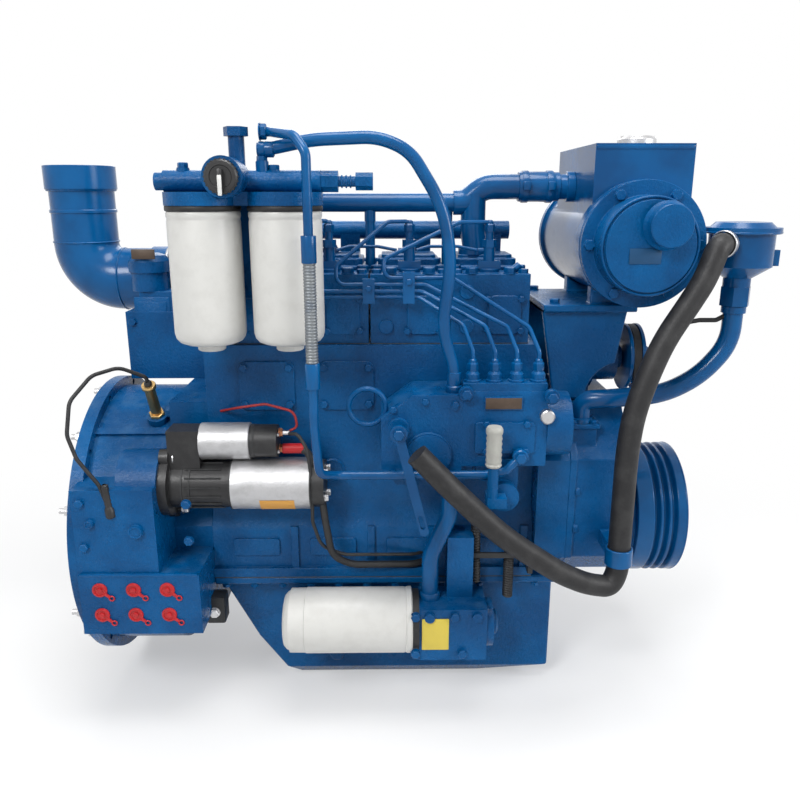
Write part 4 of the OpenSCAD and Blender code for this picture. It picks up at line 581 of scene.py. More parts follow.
# Injection lines: thick-walled steel tubes from the pump to the injectors, with a coned nut at
# each end. They run level along the heads in two clamps.
LINE_R, LINE_Y, LINE_BEND = 0.0032, -0.146, 0.014
LINE_LEVELS = (0.408, 0.417, 0.427, 0.437)
LOOP_BACK = (0.041, 0.055, 0.113, 0.167)
LOOP_UP = (0.018, 0.017, 0.016, 0.015)
LEVEL_ENDS = (0.540, 0.545, 0.550, 0.592)
VALVE_X, VALVE_Y, VALVE_Z, VALVE_PITCH = 0.620, -0.200, 0.305, 0.033
LINE_NUT = [(0, 0), (0.0078, 0), (0.0083, 0.001), (0.0083, 0.0105), (0.0066, 0.0125),
            (0.0034, 0.0125)]
LINE_CONE = [(0.0058, 0.0120), (0.0056, 0.0160), (0.0034, 0.0180)]
line_nuts = bmesh.new()
for n, cylinder in enumerate(CYLINDERS):
    top = Vector((cylinder, INJECTOR_Y, INJECTOR_TOP))
    foot = Vector((VALVE_X + n * VALVE_PITCH, VALVE_Y, VALVE_Z))
    loop_x = cylinder - LOOP_BACK[n]
    pipe("line_%d" % (n + 1),
         [top, top + Vector((0, 0, LOOP_UP[n])),
          top + Vector((-0.3 * LOOP_BACK[n], -LINE_BEND, LOOP_UP[n])),
          (loop_x, LINE_Y + LINE_BEND / 2, LINE_LEVELS[n] + 2 * LINE_BEND),
          (loop_x, LINE_Y, LINE_LEVELS[n]), (LEVEL_ENDS[n], LINE_Y, LINE_LEVELS[n]),
          (foot.x - LINE_BEND, VALVE_Y + LINE_BEND, VALVE_Z + 4.7 * LINE_BEND - 0.001 * n),
          foot + Vector((0, 0, 2 * LINE_BEND)), foot], LINE_R, blue_sheet, LINE_BEND,
         stands_for=("injection_line_%d" % (n + 1),))
    for end in (top, foot):
        turned(line_nuts, LINE_NUT, end, sides=6)
        turned(line_nuts, LINE_CONE, end, sides=20)
made("line_nuts", line_nuts, (blue_sheet,), crease=28.0)
dressed("line_clamps", 0.0012, (blue_sheet,))
clamp_low, clamp_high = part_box("line_clamps")
clamp_bolts = bmesh.new()
for x, z in ((clamp_low.x + 0.009, 0.422), (clamp_high.x - 0.009, 0.432)):
    hex_head(clamp_bolts, (x, clamp_low.y, z), NEAR, 0.010, 0.005)
made("clamp_bolts", clamp_bolts, (blue_sheet,))

# Injection pump: an aluminium inline pump painted with the engine. A side cover, four delivery
# valve holders and a bare brown plate are screwed on, and banjo bolts hold the fuel unions.
for name, soft in (("injection_pump", 0.0024), ("governor_housing", 0.0030),
                   ("feed_pump", 0.0018)):
    dressed(name, soft)
pump_low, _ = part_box("injection_pump")
PUMP_FACE = pump_low.y + 0.005
brown_plate = surface_of("brown_plate", (0.050, 0.030, 0.018), (0.09, 0.06, 0.04), 0.35, 0.5, 200.0)
VALVE_HOLDER = [(0.0125, 0.288), (0.0125, 0.291), (0.0105, 0.292), (0.0105, 0.300),
                (0.0090, 0.302), (0.0072, 0.304), (0.0072, 0.3055)]
BANJO, BANJO_BOSS = 0.012, [(0, 0), (0.0105, 0), (0.0115, 0.002), (0.0115, 0.010),
                            (0.0105, 0.012), (0, 0.012)]
STOP_CAP = [(0, 0), (0.011, 0), (0.011, 0.012), (0.009, 0.014), (0, 0.014)]
pump_parts = bmesh.new()
for x in (0.640, 0.700):
    for z in (0.185, 0.228):
        hex_head(pump_parts, (x, pump_low.y, z), NEAR, 0.011, 0.005)
for n in range(len(CYLINDERS)):
    turned(pump_parts, VALVE_HOLDER, (VALVE_X + n * VALVE_PITCH, VALVE_Y, 0), sides=24)
for x, z in ((0.608, 0.276), (0.735, 0.271)):
    turned(pump_parts, BANJO_BOSS, (x, PUMP_FACE, z), NEAR, 28)
    hex_head(pump_parts, (x, PUMP_FACE - BANJO, z), NEAR, 0.016, 0.006)
block(pump_parts, (0.636, PUMP_FACE - 0.004, 0.250), (0.693, PUMP_FACE + 0.001, 0.270), 0.001)
block(pump_parts, (0.6375, PUMP_FACE - 0.0048, 0.2515), (0.6915, PUMP_FACE - 0.0035, 0.2685),
      0.0004, 1)
turned(pump_parts, STOP_CAP, (0.730, PUMP_FACE + 0.002, 0.240), NEAR, 28, 2)
ring(pump_parts, (0.461, -0.205, 0.250), FAR, 0.028, 0.004)
made("pump_fittings", pump_parts, (blue_casting, brown_plate, bare_steel))
governor_low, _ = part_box("governor_housing")
SHAFT_COVER = [(0.030, 0), (0.034, 0.0015), (0.034, 0.004), (0.028, 0.0055), (0, 0.0055)]
governor_screws = bmesh.new()
for dx, dz in ((0.018, 0.020), (0.111, 0.014), (0.018, 0.120), (0.111, 0.128), (0.066, 0.132)):
    hex_head(governor_screws, (governor_low.x + dx, PUMP_FACE, governor_low.z + dz), NEAR, 0.011,
             0.005)
turned(governor_screws, SHAFT_COVER, (0.553, pump_low.y + 0.0005, 0.178), NEAR, 40)
made("governor_screws", governor_screws, (blue_casting,))

# Throttle lever: a cranked steel bar with a slot for the cable, painted, held on the governor's
# shaft by one nut.
dressed("throttle_lever", 0.0010, (blue_sheet,))
lever_nut = bmesh.new()
hex_head(lever_nut, (0.508, -0.256, 0.222), NEAR, 0.017, 0.008)
made("lever_nut", lever_nut, (blue_sheet,), "throttle_lever")

# Hand primer: a light grey moulded knob with finger grooves, on the bare steel rod that slides
# in the feed pump.
primer_grey = surface_of("primer_grey", (0.36, 0.36, 0.33), (0.22, 0.21, 0.19), 0.40, 0.3, 260.0)
primer_low, primer_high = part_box("primer_plunger")
primer_axis = ((primer_low.x + primer_high.x) / 2, (primer_low.y + primer_high.y) / 2, 0)
PRIMER_GRIP, GROOVE_PITCH = 0.174, 0.0042
GRIP_FOOT = [(0, 0), (0.0105, 0), (0.0122, 0.003)]
GRIP_HEAD = [(0.0126, 0.053), (0.0126, 0.058), (0.0105, 0.0615), (0, 0.062)]
grooves = [(0.0120 if k % 2 else 0.0108, 0.006 + GROOVE_PITCH * k) for k in range(11)]
primer = bmesh.new()
turned(primer, [(radius, PRIMER_GRIP + height) for radius, height in
                GRIP_FOOT + grooves + GRIP_HEAD], primer_axis, sides=36)
turned(primer, [(0.004, primer_low.z), (0.004, PRIMER_GRIP + 0.001)], primer_axis, sides=20, look=1)
made("hand_primer", primer, (primer_grey, bare_steel), "primer_plunger",
     ("primer_plunger",))

# Fuel filter head: cast, with a cross tube, two seats and its bracket on the heads. A changeover
# cock sits on its face under a black dial, and black seals show over the cans.
dressed("filter_head", 0.0022)
FILTER_Y, FILTERS, SEAT_Z = -0.215, (0.236, 0.350), 0.545
HEAD_DECK, BRACKET_FACE, UNION_Z = 0.586, -0.132, 0.577
black_rubber = surface_of("black_rubber", (0.012, 0.012, 0.013), (0.045, 0.045, 0.045), 0.42, 0.35,
                          320.0, 0.0004, Specular_IOR_Level=0.35)
black_plastic = surface_of("black_plastic", (0.014, 0.014, 0.015), (0.05, 0.05, 0.05), 0.30, 0.3,
                           500.0, 0.0002, Specular_IOR_Level=0.4)
CAN_SEAL = [(0.040, -0.0075), (0.0515, -0.0075), (0.0525, -0.006), (0.0525, -0.0015), (0.0515, 0),
            (0.040, 0)]
head_parts = bmesh.new()
for x in FILTERS:
    turned(head_parts, CAN_SEAL, (x, FILTER_Y, SEAT_Z), sides=56, look=1)
for x, z in ((0.321, 0.603), (0.337, 0.591), (0.262, 0.596), (0.212, 0.594)):
    turned(head_parts, [(0, 0), (0.009, 0), (0.009, z - HEAD_DECK), (0, z - HEAD_DECK)],
           (x, FILTER_Y, HEAD_DECK), sides=24)
    hex_head(head_parts, (x, FILTER_Y, z), UP, 0.015, 0.008)
for z in (0.418, 0.450):
    for x in (0.267, 0.320):
        hex_head(head_parts, (x, BRACKET_FACE, z), NEAR, 0.018, 0.008)
for x in (0.424, 0.430, 0.436, 0.442):
    ring(head_parts, (x, FILTER_Y, UNION_Z), AHEAD, 0.0078, 0.0012)
made("filter_head_fittings", head_parts, (blue_sheet, black_rubber))
white_plastic = surface_of("white_plastic", (0.62, 0.62, 0.60), (0.40, 0.40, 0.38), 0.35, 0.2,
                           300.0)
DIAL, DIAL_R, KNURLS = Vector((0.276, -0.270, 0.582)), 0.0222, 24
DIAL_DISC = [(0.004, -0.050), (0.004, 0.0005), (0.020, 0.0005), (DIAL_R, 0.002), (DIAL_R, 0.0060),
             (0.0200, 0.0080), (0.0150, 0.0082), (0.0140, 0.0072), (0, 0.0072)]
KNURL = [(0, -0.0028), (0.0012, -0.0028), (0.0012, 0.0028), (0, 0.0028)]


def round_y(centre, radius, angle):
    """The point at that angle on a circle about a line along Y."""
    return Vector(centre) + Vector((radius * math.cos(angle), 0, radius * math.sin(angle)))


dial = bmesh.new()
turned(dial, DIAL_DISC, DIAL, NEAR, 48)
for k in range(KNURLS):
    turned(dial, KNURL, round_y(DIAL + Vector((0, -0.004, 0)), DIAL_R, 2 * math.pi * k / KNURLS),
           FAR, 8)
for low, high, soft, look in (
        ((-0.0035, -0.0150, -0.021), (0.0035, -0.006, 0.010), 0.0016, 0),
        ((-0.0028, -0.0168, -0.024), (0.0028, -0.0145, 0.002), 0.001, 1)):
    block(dial, DIAL + Vector(low), DIAL + Vector(high), soft, look)
made("changeover_dial", dial, (black_plastic, white_plastic), "changeover_lever",
     ("changeover_lever",))

# Spin-on fuel filters: deep-drawn cans, sprayed off-white, with a rolled seam at the top, a round
# shoulder and a drain boss at the foot.
can_white = surface_of("can_white", (0.56, 0.555, 0.53), (0.42, 0.41, 0.385), 0.26, 0.22, 40.0,
                       0.0001, Specular_IOR_Level=0.4)
CAN_FOOT = [(0, 0), (0.0185, 0), (0.0200, 0.0015), (0.0200, 0.0095), (0.0230, 0.0105),
            (0.0380, 0.0110), (0.0450, 0.0140), (0.0490, 0.0190), (0.0508, 0.0260),
            (0.0510, 0.036)]
CAN_TOP = [(0.0510, -0.022), (0.0502, -0.0195), (0.0502, -0.0170), (0.0512, -0.0150),
           (0.0512, -0.0100), (0.0500, -0.0078), (0, -0.0078)]
for number, x in enumerate(FILTERS, 1):
    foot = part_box("fuel_filter_%d" % number)[0].z
    can = bmesh.new()
    turned(can, [(radius, foot + height) for radius, height in CAN_FOOT]
           + [(radius, SEAT_Z + height) for radius, height in CAN_TOP], (x, FILTER_Y, 0), sides=72)
    made("filter_can_%d" % number, can, (can_white,),
         stands_for=("fuel_filter_%d" % number,))

# Fuel pipes: a steel suction pipe with a ribbed sleeve from the filter head to the feed pump, and
# a blue rubber hose from the head to the pump's gallery, crimped at both ends.
FUEL_R, FUEL_HOSE_R, FUEL_HOSE_BEND = 0.0065, 0.0090, 0.25
FALL_X, FALL_Y = 0.388, -0.280
STEEL_RUN = [(0.3208, FILTER_Y, 0.642), (0.3328, FILTER_Y, 0.642), (0.372, -0.268, 0.634),
             (FALL_X, FALL_Y, 0.612), (FALL_X, FALL_Y, 0.240), (0.392, -0.268, 0.165),
             (0.418, -0.240, 0.153), (0.640, -0.240, 0.153), (0.668, -0.240, 0.158),
             (0.690, -0.238, 0.180)]
pipe("fuel_pipe_run", STEEL_RUN, FUEL_R, blue_sheet, 3 * FUEL_R, stands_for=("fuel_pipe",))
sleeve_grey = surface_of("sleeve_grey", (0.20, 0.215, 0.225), (0.05, 0.08, 0.13), 0.38, 0.5, 200.0,
                         Metallic=0.5)
SLEEVE_LOW, SLEEVE_HIGH, SLEEVE_RIB = 0.300, 0.505, 0.0042
SLEEVE_END = [(0.0066, 0), (0.0100, 0), (0.0104, 0.001), (0.0104, 0.035), (0.0100, 0.036),
              (0.0066, 0.036)]
UNION, UNION_LEN = Vector((0.6905, -0.2285, 0.180)), 0.0145
UNION_BODY = [(0, 0), (0.0110, 0), (0.0120, 0.002), (0.0120, 0.0125), (0.0105, UNION_LEN),
              (0, UNION_LEN)]
ribs = [(radius, SLEEVE_LOW + SLEEVE_RIB * (k + share))
        for k in range(int((SLEEVE_HIGH - SLEEVE_LOW) / SLEEVE_RIB))
        for radius, share in ((0.0078, 0), (0.0088, 0.35), (0.0088, 0.65))]
pipe_fittings = bmesh.new()
turned(pipe_fittings, ribs, (FALL_X, FALL_Y, 0), sides=24, look=1)
for z in (SLEEVE_LOW - 0.002, SLEEVE_HIGH - 0.034):
    turned(pipe_fittings, SLEEVE_END, (FALL_X, FALL_Y, z), sides=28)
turned(pipe_fittings, UNION_BODY, UNION, NEAR, 30)
hex_head(pipe_fittings, UNION + Vector((0, -UNION_LEN, 0)), NEAR, 0.017, 0.006)
hex_head(pipe_fittings, (0.3190, FILTER_Y, 0.642), AHEAD, 0.021, 0.010)
made("fuel_pipe_fittings", pipe_fittings, (blue_sheet, sleeve_grey))
HOSE_OUTLET_Z, HOSE_FOOT = 0.6192, (0.592, -0.200, 0.272)
HOSE_RUN = [(0.3152, FILTER_Y, HOSE_OUTLET_Z), (0.3272, FILTER_Y, HOSE_OUTLET_Z),
            (0.390, -0.214, 0.632), (0.480, -0.212, 0.636), (0.524, -0.214, 0.618),
            (0.570, -0.216, 0.545), (0.584, -0.216, 0.470), (0.572, -0.214, 0.370),
            (0.592, -0.200, 0.308), HOSE_FOOT]
pipe("fuel_hose_run", HOSE_RUN, FUEL_HOSE_R, blue_sheet, FUEL_HOSE_BEND, stands_for=("fuel_hose",))
HEAD_CRIMP = [(0.0092, 0), (0.0108, 0.001), (0.0108, 0.007), (0.0102, 0.0085), (0.0108, 0.010),
              (0.0108, 0.020), (0.0092, 0.021)]
FOOT_CRIMP = [(0.0125, 0), (0.0130, 0.001), (0.0130, 0.009), (0.0108, 0.011), (0.0108, 0.030),
              (0.0092, 0.031)]
hose_ends = bmesh.new()
turned(hose_ends, HEAD_CRIMP, (0.317, FILTER_Y, HOSE_OUTLET_Z), AHEAD, 28)
turned(hose_ends, FOOT_CRIMP, HOSE_FOOT, UP, 28)
made("fuel_hose_ends", hose_ends, (blue_sheet,))

# Coolant: a rail over the heads on short legs, and the wide pipe from its front end into the
# header tank. A sleeve under two worm clamps joins it there, sprayed with the engine.
dressed("coolant_rail", 0.0012, (blue_sheet,))
dressed("coolant_pipe", 0.0008, (blue_sheet,))
tank_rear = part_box("header_tank")[0].x
PIPE_Y, PIPE_Z, PIPE_R = -0.020, 0.572, 0.020
LEG_X, LEG_Z, LEG_R = 0.634, 0.462, 0.0205
SLEEVE = [(PIPE_R, 0), (0.0232, 0.0005), (0.0240, 0.004), (0.0240, 0.056), (0.0232, 0.0595),
          (PIPE_R, 0.060)]
CLAMP_BAND = [(0.0238, 0), (0.0254, 0), (0.0256, 0.001), (0.0256, 0.009), (0.0254, 0.010),
              (0.0238, 0.010)]
LEG_COLLAR = [(0.0222, 0), (0.0235, 0.002), (0.0235, 0.010), (0.0222, 0.012), (0, 0.012)]
coolant_parts = bmesh.new()
turned(coolant_parts, SLEEVE, (tank_rear - 0.072, PIPE_Y, PIPE_Z), AHEAD, 40)
for x in (tank_rear - 0.066, tank_rear - 0.026):
    turned(coolant_parts, CLAMP_BAND, (x, PIPE_Y, PIPE_Z), AHEAD, 40)
    block(coolant_parts, (x - 0.001, -0.052, 0.566), (x + 0.011, -0.043, 0.580), 0.002)
turned(coolant_parts, LEG_COLLAR, (LEG_X, PIPE_Y, LEG_Z), sides=36)
made("coolant_sleeve", coolant_parts, (blue_sheet,), crease=30.0)
pipe("coolant_leg", [(LEG_X, PIPE_Y, 0.560), (LEG_X, PIPE_Y, 0.500),
                     (LEG_X + 0.006, PIPE_Y, LEG_Z)], LEG_R, blue_sheet, 0.03, sides=10)
BYPASS_RUN, BYPASS_R = [(0.700, -0.100, 0.452), (0.690, -0.104, 0.444), (0.664, -0.108, 0.426),
                        (0.632, -0.112, 0.421), (0.612, -0.108, 0.440)], 0.0060
pipe("bypass_pipe", BYPASS_RUN, BYPASS_R, blue_sheet, 0.02)

# Intake manifold: a welded tube on cast feet, bolted down over the far edge of the heads and
# sprayed with the engine.
dressed("intake_manifold", 0.0022)
FOOT_BOLTS, FOOT_BOLT_Y, FOOT_TOP = (-0.004, 0.034), 0.0765, 0.447
intake_bolts = bmesh.new()
for cylinder in CYLINDERS:
    for dx in FOOT_BOLTS:
        hex_head(intake_bolts, (cylinder + dx, FOOT_BOLT_Y, FOOT_TOP), UP, 0.011, 0.006)
made("intake_bolts", intake_bolts, (blue_casting,))

# Exhaust side: the manifold log on the far side, the cast box under the turbine with its bolted
# panel and a dark plate, and the elbow, whose outlet sleeve is welded on.
dressed("exhaust_manifold", 0.0032)
dressed("exhaust_elbow", 0.0010, (blue_sheet,))
elbow_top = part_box("exhaust_elbow")[1].z
TURBO_Y, TURBO_Z = 0.200, 0.400
ELBOW_X, INLET_X, WELD_Z = -0.093, -0.022, 0.472
SLEEVE_STEP, SLEEVE_R, WELD_R, WELD_THICK = 0.0435, 0.0605, 0.0590, 0.0018
BOX_FACE, BOX_BOLT_Z = 0.0405, 0.340
exhaust_parts = bmesh.new()
for place, axis, radius, thick in (
        ((ELBOW_X, TURBO_Y, elbow_top - SLEEVE_STEP), UP, SLEEVE_R, 0.0030),
        ((ELBOW_X, TURBO_Y, WELD_Z), UP, WELD_R, WELD_THICK),
        ((INLET_X, TURBO_Y, TURBO_Z), AHEAD, WELD_R, WELD_THICK)):
    ring(exhaust_parts, place, axis, radius, thick, around=56)
block(exhaust_parts, (0.040, 0.0425, 0.262), (0.104, 0.0452, 0.384), 0.0022)
block(exhaust_parts, (0.046, 0.0410, 0.270), (0.098, 0.0432, 0.376), 0.0020)
for x in (0.036, 0.130, 0.186):
    hex_head(exhaust_parts, (x, BOX_FACE, BOX_BOLT_Z), NEAR, 0.014, 0.006)
block(exhaust_parts, (0.046, 0.0340, 0.451), (0.086, 0.0385, 0.468), 0.0008, 1)
made("exhaust_details", exhaust_parts, (blue_casting, brown_plate))

# Turbocharger: iron turbine housing and aluminium compressor, clamped to a bearing housing, and
# the rotor with its two bladed wheels.
cast_aluminium = surface_of("cast_aluminium", (0.50, 0.50, 0.51), (0.27, 0.27, 0.27), 0.36, 0.35,
                            260.0, 0.0004, Metallic=0.85)
COMPRESSOR_FROM, COMPRESSOR_BOLTS = 0.145, 8
dressed("turbocharger", 0.0025, (blue_casting, cast_aluminium),
        lambda centre: int(centre.x > COMPRESSOR_FROM))
dressed("turbo_rotor", 0.0004, (bare_steel,))


def round_x(centre, radius, angle):
    """The point at that angle on a circle about a line along X."""
    return Vector(centre) + Vector((0, radius * math.cos(angle), radius * math.sin(angle)))


turbo_parts = bmesh.new()
for x, radius in ((0.0705, 0.0620), (0.0925, 0.0700)):
    ring(turbo_parts, (x, TURBO_Y, TURBO_Z), AHEAD, radius, 0.0035, 0, 56)
for k in range(COMPRESSOR_BOLTS):
    hex_head(turbo_parts, round_x((0.146, TURBO_Y, TURBO_Z), 0.062,
                                  2 * math.pi * (k + 0.5) / COMPRESSOR_BOLTS), AHEAD, 0.013, 0.006)
ring(turbo_parts, (0.176, TURBO_Y, TURBO_Z), AHEAD, 0.0395, 0.0020, 0, 48)
made("turbo_clamps", turbo_parts, (bare_steel,))

# Header tank: pressed sheet, welded along its edges over the heat exchanger's shell. The end
# cover is a casting on six bolts, with a closed boss and a bare plate.
dressed("header_tank", 0.0040, (blue_sheet,))
dressed("exchanger_cover", 0.0022)
cover_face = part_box("exchanger_cover")[0].y
SHELL, SHELL_R, SHELL_BOLT_R, SHELL_END = Vector((0.871, 0.0, 0.488)), 0.0915, 0.0835, 0.150
SEAM_LOW, SEAM_HIGH, SEAM_WIDE = (0.799, 0.6235), (0.942, 0.6295), 0.0027
TANK_STUB = [(0.0200, 0), (0.0226, 0.0008), (0.0226, 0.020), (0.0200, 0.021), (0.0165, 0.021),
             (0.0165, 0.004), (0, 0.004)]
nameplate_blue = surface_of("nameplate_blue", (0.0025, 0.050, 0.130), (0.004, 0.06, 0.16), 0.30,
                            0.3, 220.0, Specular_IOR_Level=0.4)
tank_parts = bmesh.new()
for y in (-0.1512, 0.0885):
    block(tank_parts, (SEAM_LOW[0], y, SEAM_LOW[1]), (SEAM_HIGH[0], y + SEAM_WIDE, SEAM_HIGH[1]),
          0.0012)
for y in (-0.1615, 0.1495):
    ring(tank_parts, (SHELL.x, y, SHELL.z), FAR, SHELL_R, 0.0020, 0, 64)
for k in range(5):
    hex_head(tank_parts, round_y((SHELL.x, SHELL_END, SHELL.z), SHELL_BOLT_R,
                                 math.radians(200 + 35 * k)), FAR, 0.014, 0.007)
turned(tank_parts, TANK_STUB, (0.9485, 0.0, 0.524), AHEAD, 40)
made("tank_seams", tank_parts, (blue_sheet,))
COVER_BOSS = [(0.0345, -0.004), (0.0318, 0.0005), (0.0304, 0.0030), (0.0302, 0.0165),
              (0.0288, 0.0180), (0, 0.0184)]
cover_parts = bmesh.new()
ring(cover_parts, (SHELL.x - 0.004, -0.2145, SHELL.z), FAR, 0.0690, 0.0022, 0, 64)
block(cover_parts, (0.8360, -0.2210, 0.4640), (0.8820, -0.2185, 0.4860), 0.0008, 1)
turned(cover_parts, COVER_BOSS, (0.884, cover_face + 0.006, 0.5178), NEAR, 56)
made("cover_details", cover_parts, (blue_casting, nameplate_blue))
cap_low, cap_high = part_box("filler_cap")
cap_x, cap_y = ((a + b) / 2 for a, b in zip(cap_low[:2], cap_high[:2]))
CAP_RIM = [(0.0212, 0.0125), (0.0212, 0.0012), (0.0285, 0.0012), (0.0298, 0.0025),
           (0.0298, 0.0105), (0.0270, 0.0135), (0.0240, 0.0142), (0.0225, 0.0158), (0, 0.0160)]
cap = bmesh.new()
turned(cap, CAP_RIM, (cap_x, cap_y, cap_low.z - 0.0012), sides=56)
for ear_x in (cap_x + 0.022, cap_x - 0.022):
    block(cap, (ear_x - 0.006, cap_y - 0.007, cap_low.z + 0.008),
          (ear_x + 0.006, cap_y + 0.007, cap_high.z - 0.0002), 0.0015)
made("tank_cap", cap, (bare_steel,), "filler_cap", ("filler_cap",))
dressed("tank_bracket", 0.0028)
BRACKET_BOLT_Y, BRACKET_TOP = 0.09016, 0.390
bracket_parts = bmesh.new()
for x in (0.762, 0.868):
    for y in (-BRACKET_BOLT_Y, BRACKET_BOLT_Y):
        hex_head(bracket_parts, (x, y, BRACKET_TOP), UP, 0.016, 0.008)
made("bracket_bolts", bracket_parts, (blue_casting,))

# Breather: spun steel body with a crimped lid, on its pipe to the timing cover. The black drain
# hose is clamped on its spigot and runs down through a clip beside the pulley.
dressed("breather", 0.0014, (blue_sheet,))
BREATHER_X, BREATHER_Y, LID_SEAM = 1.026, -0.150, 0.5055
BREATHER_PIPE_R, FOOT_X, FOOT_Y = 0.015, 0.804, -0.136
BREATHER_RUN = [(BREATHER_X, BREATHER_Y, 0.395), (BREATHER_X, BREATHER_Y, 0.335),
                (0.985, BREATHER_Y, 0.284), (0.930, BREATHER_Y, 0.254),
                (0.835, BREATHER_Y, 0.246), (FOOT_X, FOOT_Y, 0.241), (FOOT_X, FOOT_Y, 0.205)]
TOP_COLLAR = [(0.015, 0.383), (0.0182, 0.384), (0.0182, 0.394), (0.015, 0.395)]
FOOT_COLLAR = [(0.015, 0), (0.0190, 0.0005), (0.0190, 0.007), (0.015, 0.008)]
SENSE_RUN = [(0.953, BREATHER_Y, 0.368), (0.975, BREATHER_Y, 0.372), (1.001, BREATHER_Y, 0.372),
             (1.012, BREATHER_Y, 0.378)]
pipe("breather_run", BREATHER_RUN, BREATHER_PIPE_R, blue_sheet, 0.16,
     stands_for=("breather_pipe",), sides=9)
breather_parts = bmesh.new()
turned(breather_parts, TOP_COLLAR, (BREATHER_X, BREATHER_Y, 0), sides=36)
ring(breather_parts, (BREATHER_X, BREATHER_Y, LID_SEAM), UP, 0.0535, 0.0022, 0, 56)
turned(breather_parts, FOOT_COLLAR, (FOOT_X, FOOT_Y, 0.2055), sides=32)
pipe("breather_sense_pipe", SENSE_RUN, 0.0036, black_rubber, 0.01)
made("breather_details", breather_parts, (blue_sheet,))
HOSE_R, HOSE_BEND, SPIGOT_OUT = 0.017, 0.6, 0.06 / math.sqrt(2)
DRAIN_RUN = [(BREATHER_X - SPIGOT_OUT, BREATHER_Y - SPIGOT_OUT, 0.490), (0.968, -0.208, 0.489),
             (0.950, -0.214, 0.440), (0.927, -0.220, 0.404), (0.895, -0.228, 0.356),
             (0.873, -0.234, 0.303), (0.856, -0.238, 0.247), (0.850, -0.240, 0.191),
             (0.850, -0.240, -0.010), (0.838, -0.246, -0.032), (0.800, -0.256, -0.022),
             (0.756, -0.268, 0.002), (0.659, -0.290, 0.075), (0.583, -0.291, 0.151),
             (0.533, -0.292, 0.204)]
drain_hose = pipe("drain_hose", DRAIN_RUN, HOSE_R, black_rubber, HOSE_BEND,
                  stands_for=("breather_hose",), sides=10)


CLAMPS_ABOVE = 0.2
dressed("hose_clips", 0.0010, (blue_sheet, bare_steel),
        lambda centre: int(centre.z > CLAMPS_ABOVE))
clip_screws = bmesh.new()
hex_head(clip_screws, (0.862, -0.190, 0.018), AHEAD, 0.012, 0.006)
made("clip_screw", clip_screws, (blue_sheet,))

# Timing case and cover: two castings with a grey joint between them, bolted round the edge, and
# the plate that the breather pipe stands on.
dressed("timing_case", 0.0030)
dressed("timing_cover", 0.0032)
CASE_FACE, PLATE_TOP = 0.7945, 0.205
CASE_BOLTS = ((-0.165, 0.095), (-0.165, 0.030), (0.165, 0.095), (0.165, 0.030), (-0.06, 0.224),
              (0.06, 0.224), (-0.130, -0.048), (-0.05, -0.052), (0.05, -0.052), (0.130, -0.048))
case_bolts = bmesh.new()
for y, z in CASE_BOLTS:
    hex_head(case_bolts, (CASE_FACE, y, z), AHEAD, 0.016, 0.008)
for x, y in ((0.790, -0.150), (0.822, -0.150), (0.822, -0.122)):
    hex_head(case_bolts, (x, y, PLATE_TOP), UP, 0.012, 0.006)
made("timing_bolts", case_bolts, (blue_casting,))

# Front drive: water pump and alternator with their pulleys, turned by one rubber belt from the
# crank pulley, which is a grooved iron disc held by six bolts.
for name, soft, look in (("water_pump", 0.0024, blue_casting),
                         ("water_pump_pulley", 0.0010, blue_sheet),
                         ("alternator", 0.0018, cast_aluminium),
                         ("alternator_pulley", 0.0008, bare_steel),
                         ("drive_belt", 0.0012, black_rubber)):
    dressed(name, soft, (look,))
pulley_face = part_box("crank_pulley")[1].x
HUB_FACE, HUB_IN, HUB_OUT = 0.9735, 0.036, 0.056
dressed("crank_pulley", 0.0016, (blue_sheet, bare_steel), lambda centre: int(
    centre.x > HUB_FACE and HUB_IN < math.hypot(centre.y, centre.z) < HUB_OUT))
ALTERNATOR_Y, ALTERNATOR_Z, VENT_SHADE_DISCS = 0.235, 0.205, 14
VENT_SHADE_DISC = [(0, -0.0008), (0.0050, -0.0008), (0.0050, 0.0004), (0, 0.0004)]
REAR_CAP = [(0, 0), (0.019, 0), (0.019, 0.010), (0.016, 0.014), (0, 0.014)]
alternator_parts = bmesh.new()
# The alternator's vents are painted shade: small flat black discs in a ring on its rear stand for
# the dark of the openings.
for k in range(VENT_SHADE_DISCS):
    turned(alternator_parts, VENT_SHADE_DISC, round_x((0.8015, ALTERNATOR_Y, ALTERNATOR_Z), 0.040,
                                           2 * math.pi * k / VENT_SHADE_DISCS), BACK, 16, 1)
turned(alternator_parts, REAR_CAP, (0.802, ALTERNATOR_Y, ALTERNATOR_Z), BACK, 32)
made("alternator_details", alternator_parts, (cast_aluminium, black_plastic))
pulley_parts = bmesh.new()
for sunk, radius, thick in ((0.002, 0.1155, 0.0022), (0.001, 0.1022, 0.0016)):
    ring(pulley_parts, (pulley_face - sunk, 0, 0), AHEAD, radius, thick, 0, 96)
made("pulley_rim", pulley_parts, (blue_sheet,), "crank")

# Starter: black drive-end casting with its flange and snout, a silver field case under a cap held
# by four bolts, and a solenoid on top with copper studs, a red boot and the battery wires.
NOSE_TO, CASE_FROM, CASE_TO = 0.120, 0.2455, 0.3695
dressed("starter_motor", 0.0012, (black_plastic, cast_aluminium, bare_steel), lambda centre: (
    2 if centre.x < NOSE_TO else 1 if CASE_FROM < centre.x < CASE_TO else 0))
COIL_TO, CAP_TO, BOOT_FROM, BOOT_TOP = 0.2775, 0.3205, 0.326, 0.187
dressed("starter_solenoid", 0.0010, (cast_aluminium, black_plastic, bare_steel, red_plastic),
        lambda centre: (0 if centre.x < COIL_TO else 1 if centre.x < CAP_TO else
                        3 if centre.z < BOOT_TOP and centre.x > BOOT_FROM else 2))
starter_black = surface_of("starter_black", (0.016, 0.017, 0.018), (0.05, 0.05, 0.052), 0.40, 0.4,
                           220.0, 0.0004, Specular_IOR_Level=0.4)
label_amber = surface_of("label_amber", (0.62, 0.30, 0.045), (0.45, 0.20, 0.04), 0.35, 0.2, 160.0)
copper = surface_of("copper", (0.60, 0.28, 0.15), (0.25, 0.12, 0.07), 0.28, 0.4, 300.0,
                    Metallic=1.0)
STARTER_Y, STARTER_Z, SOLENOID_Z = -0.175, 0.116, 0.187
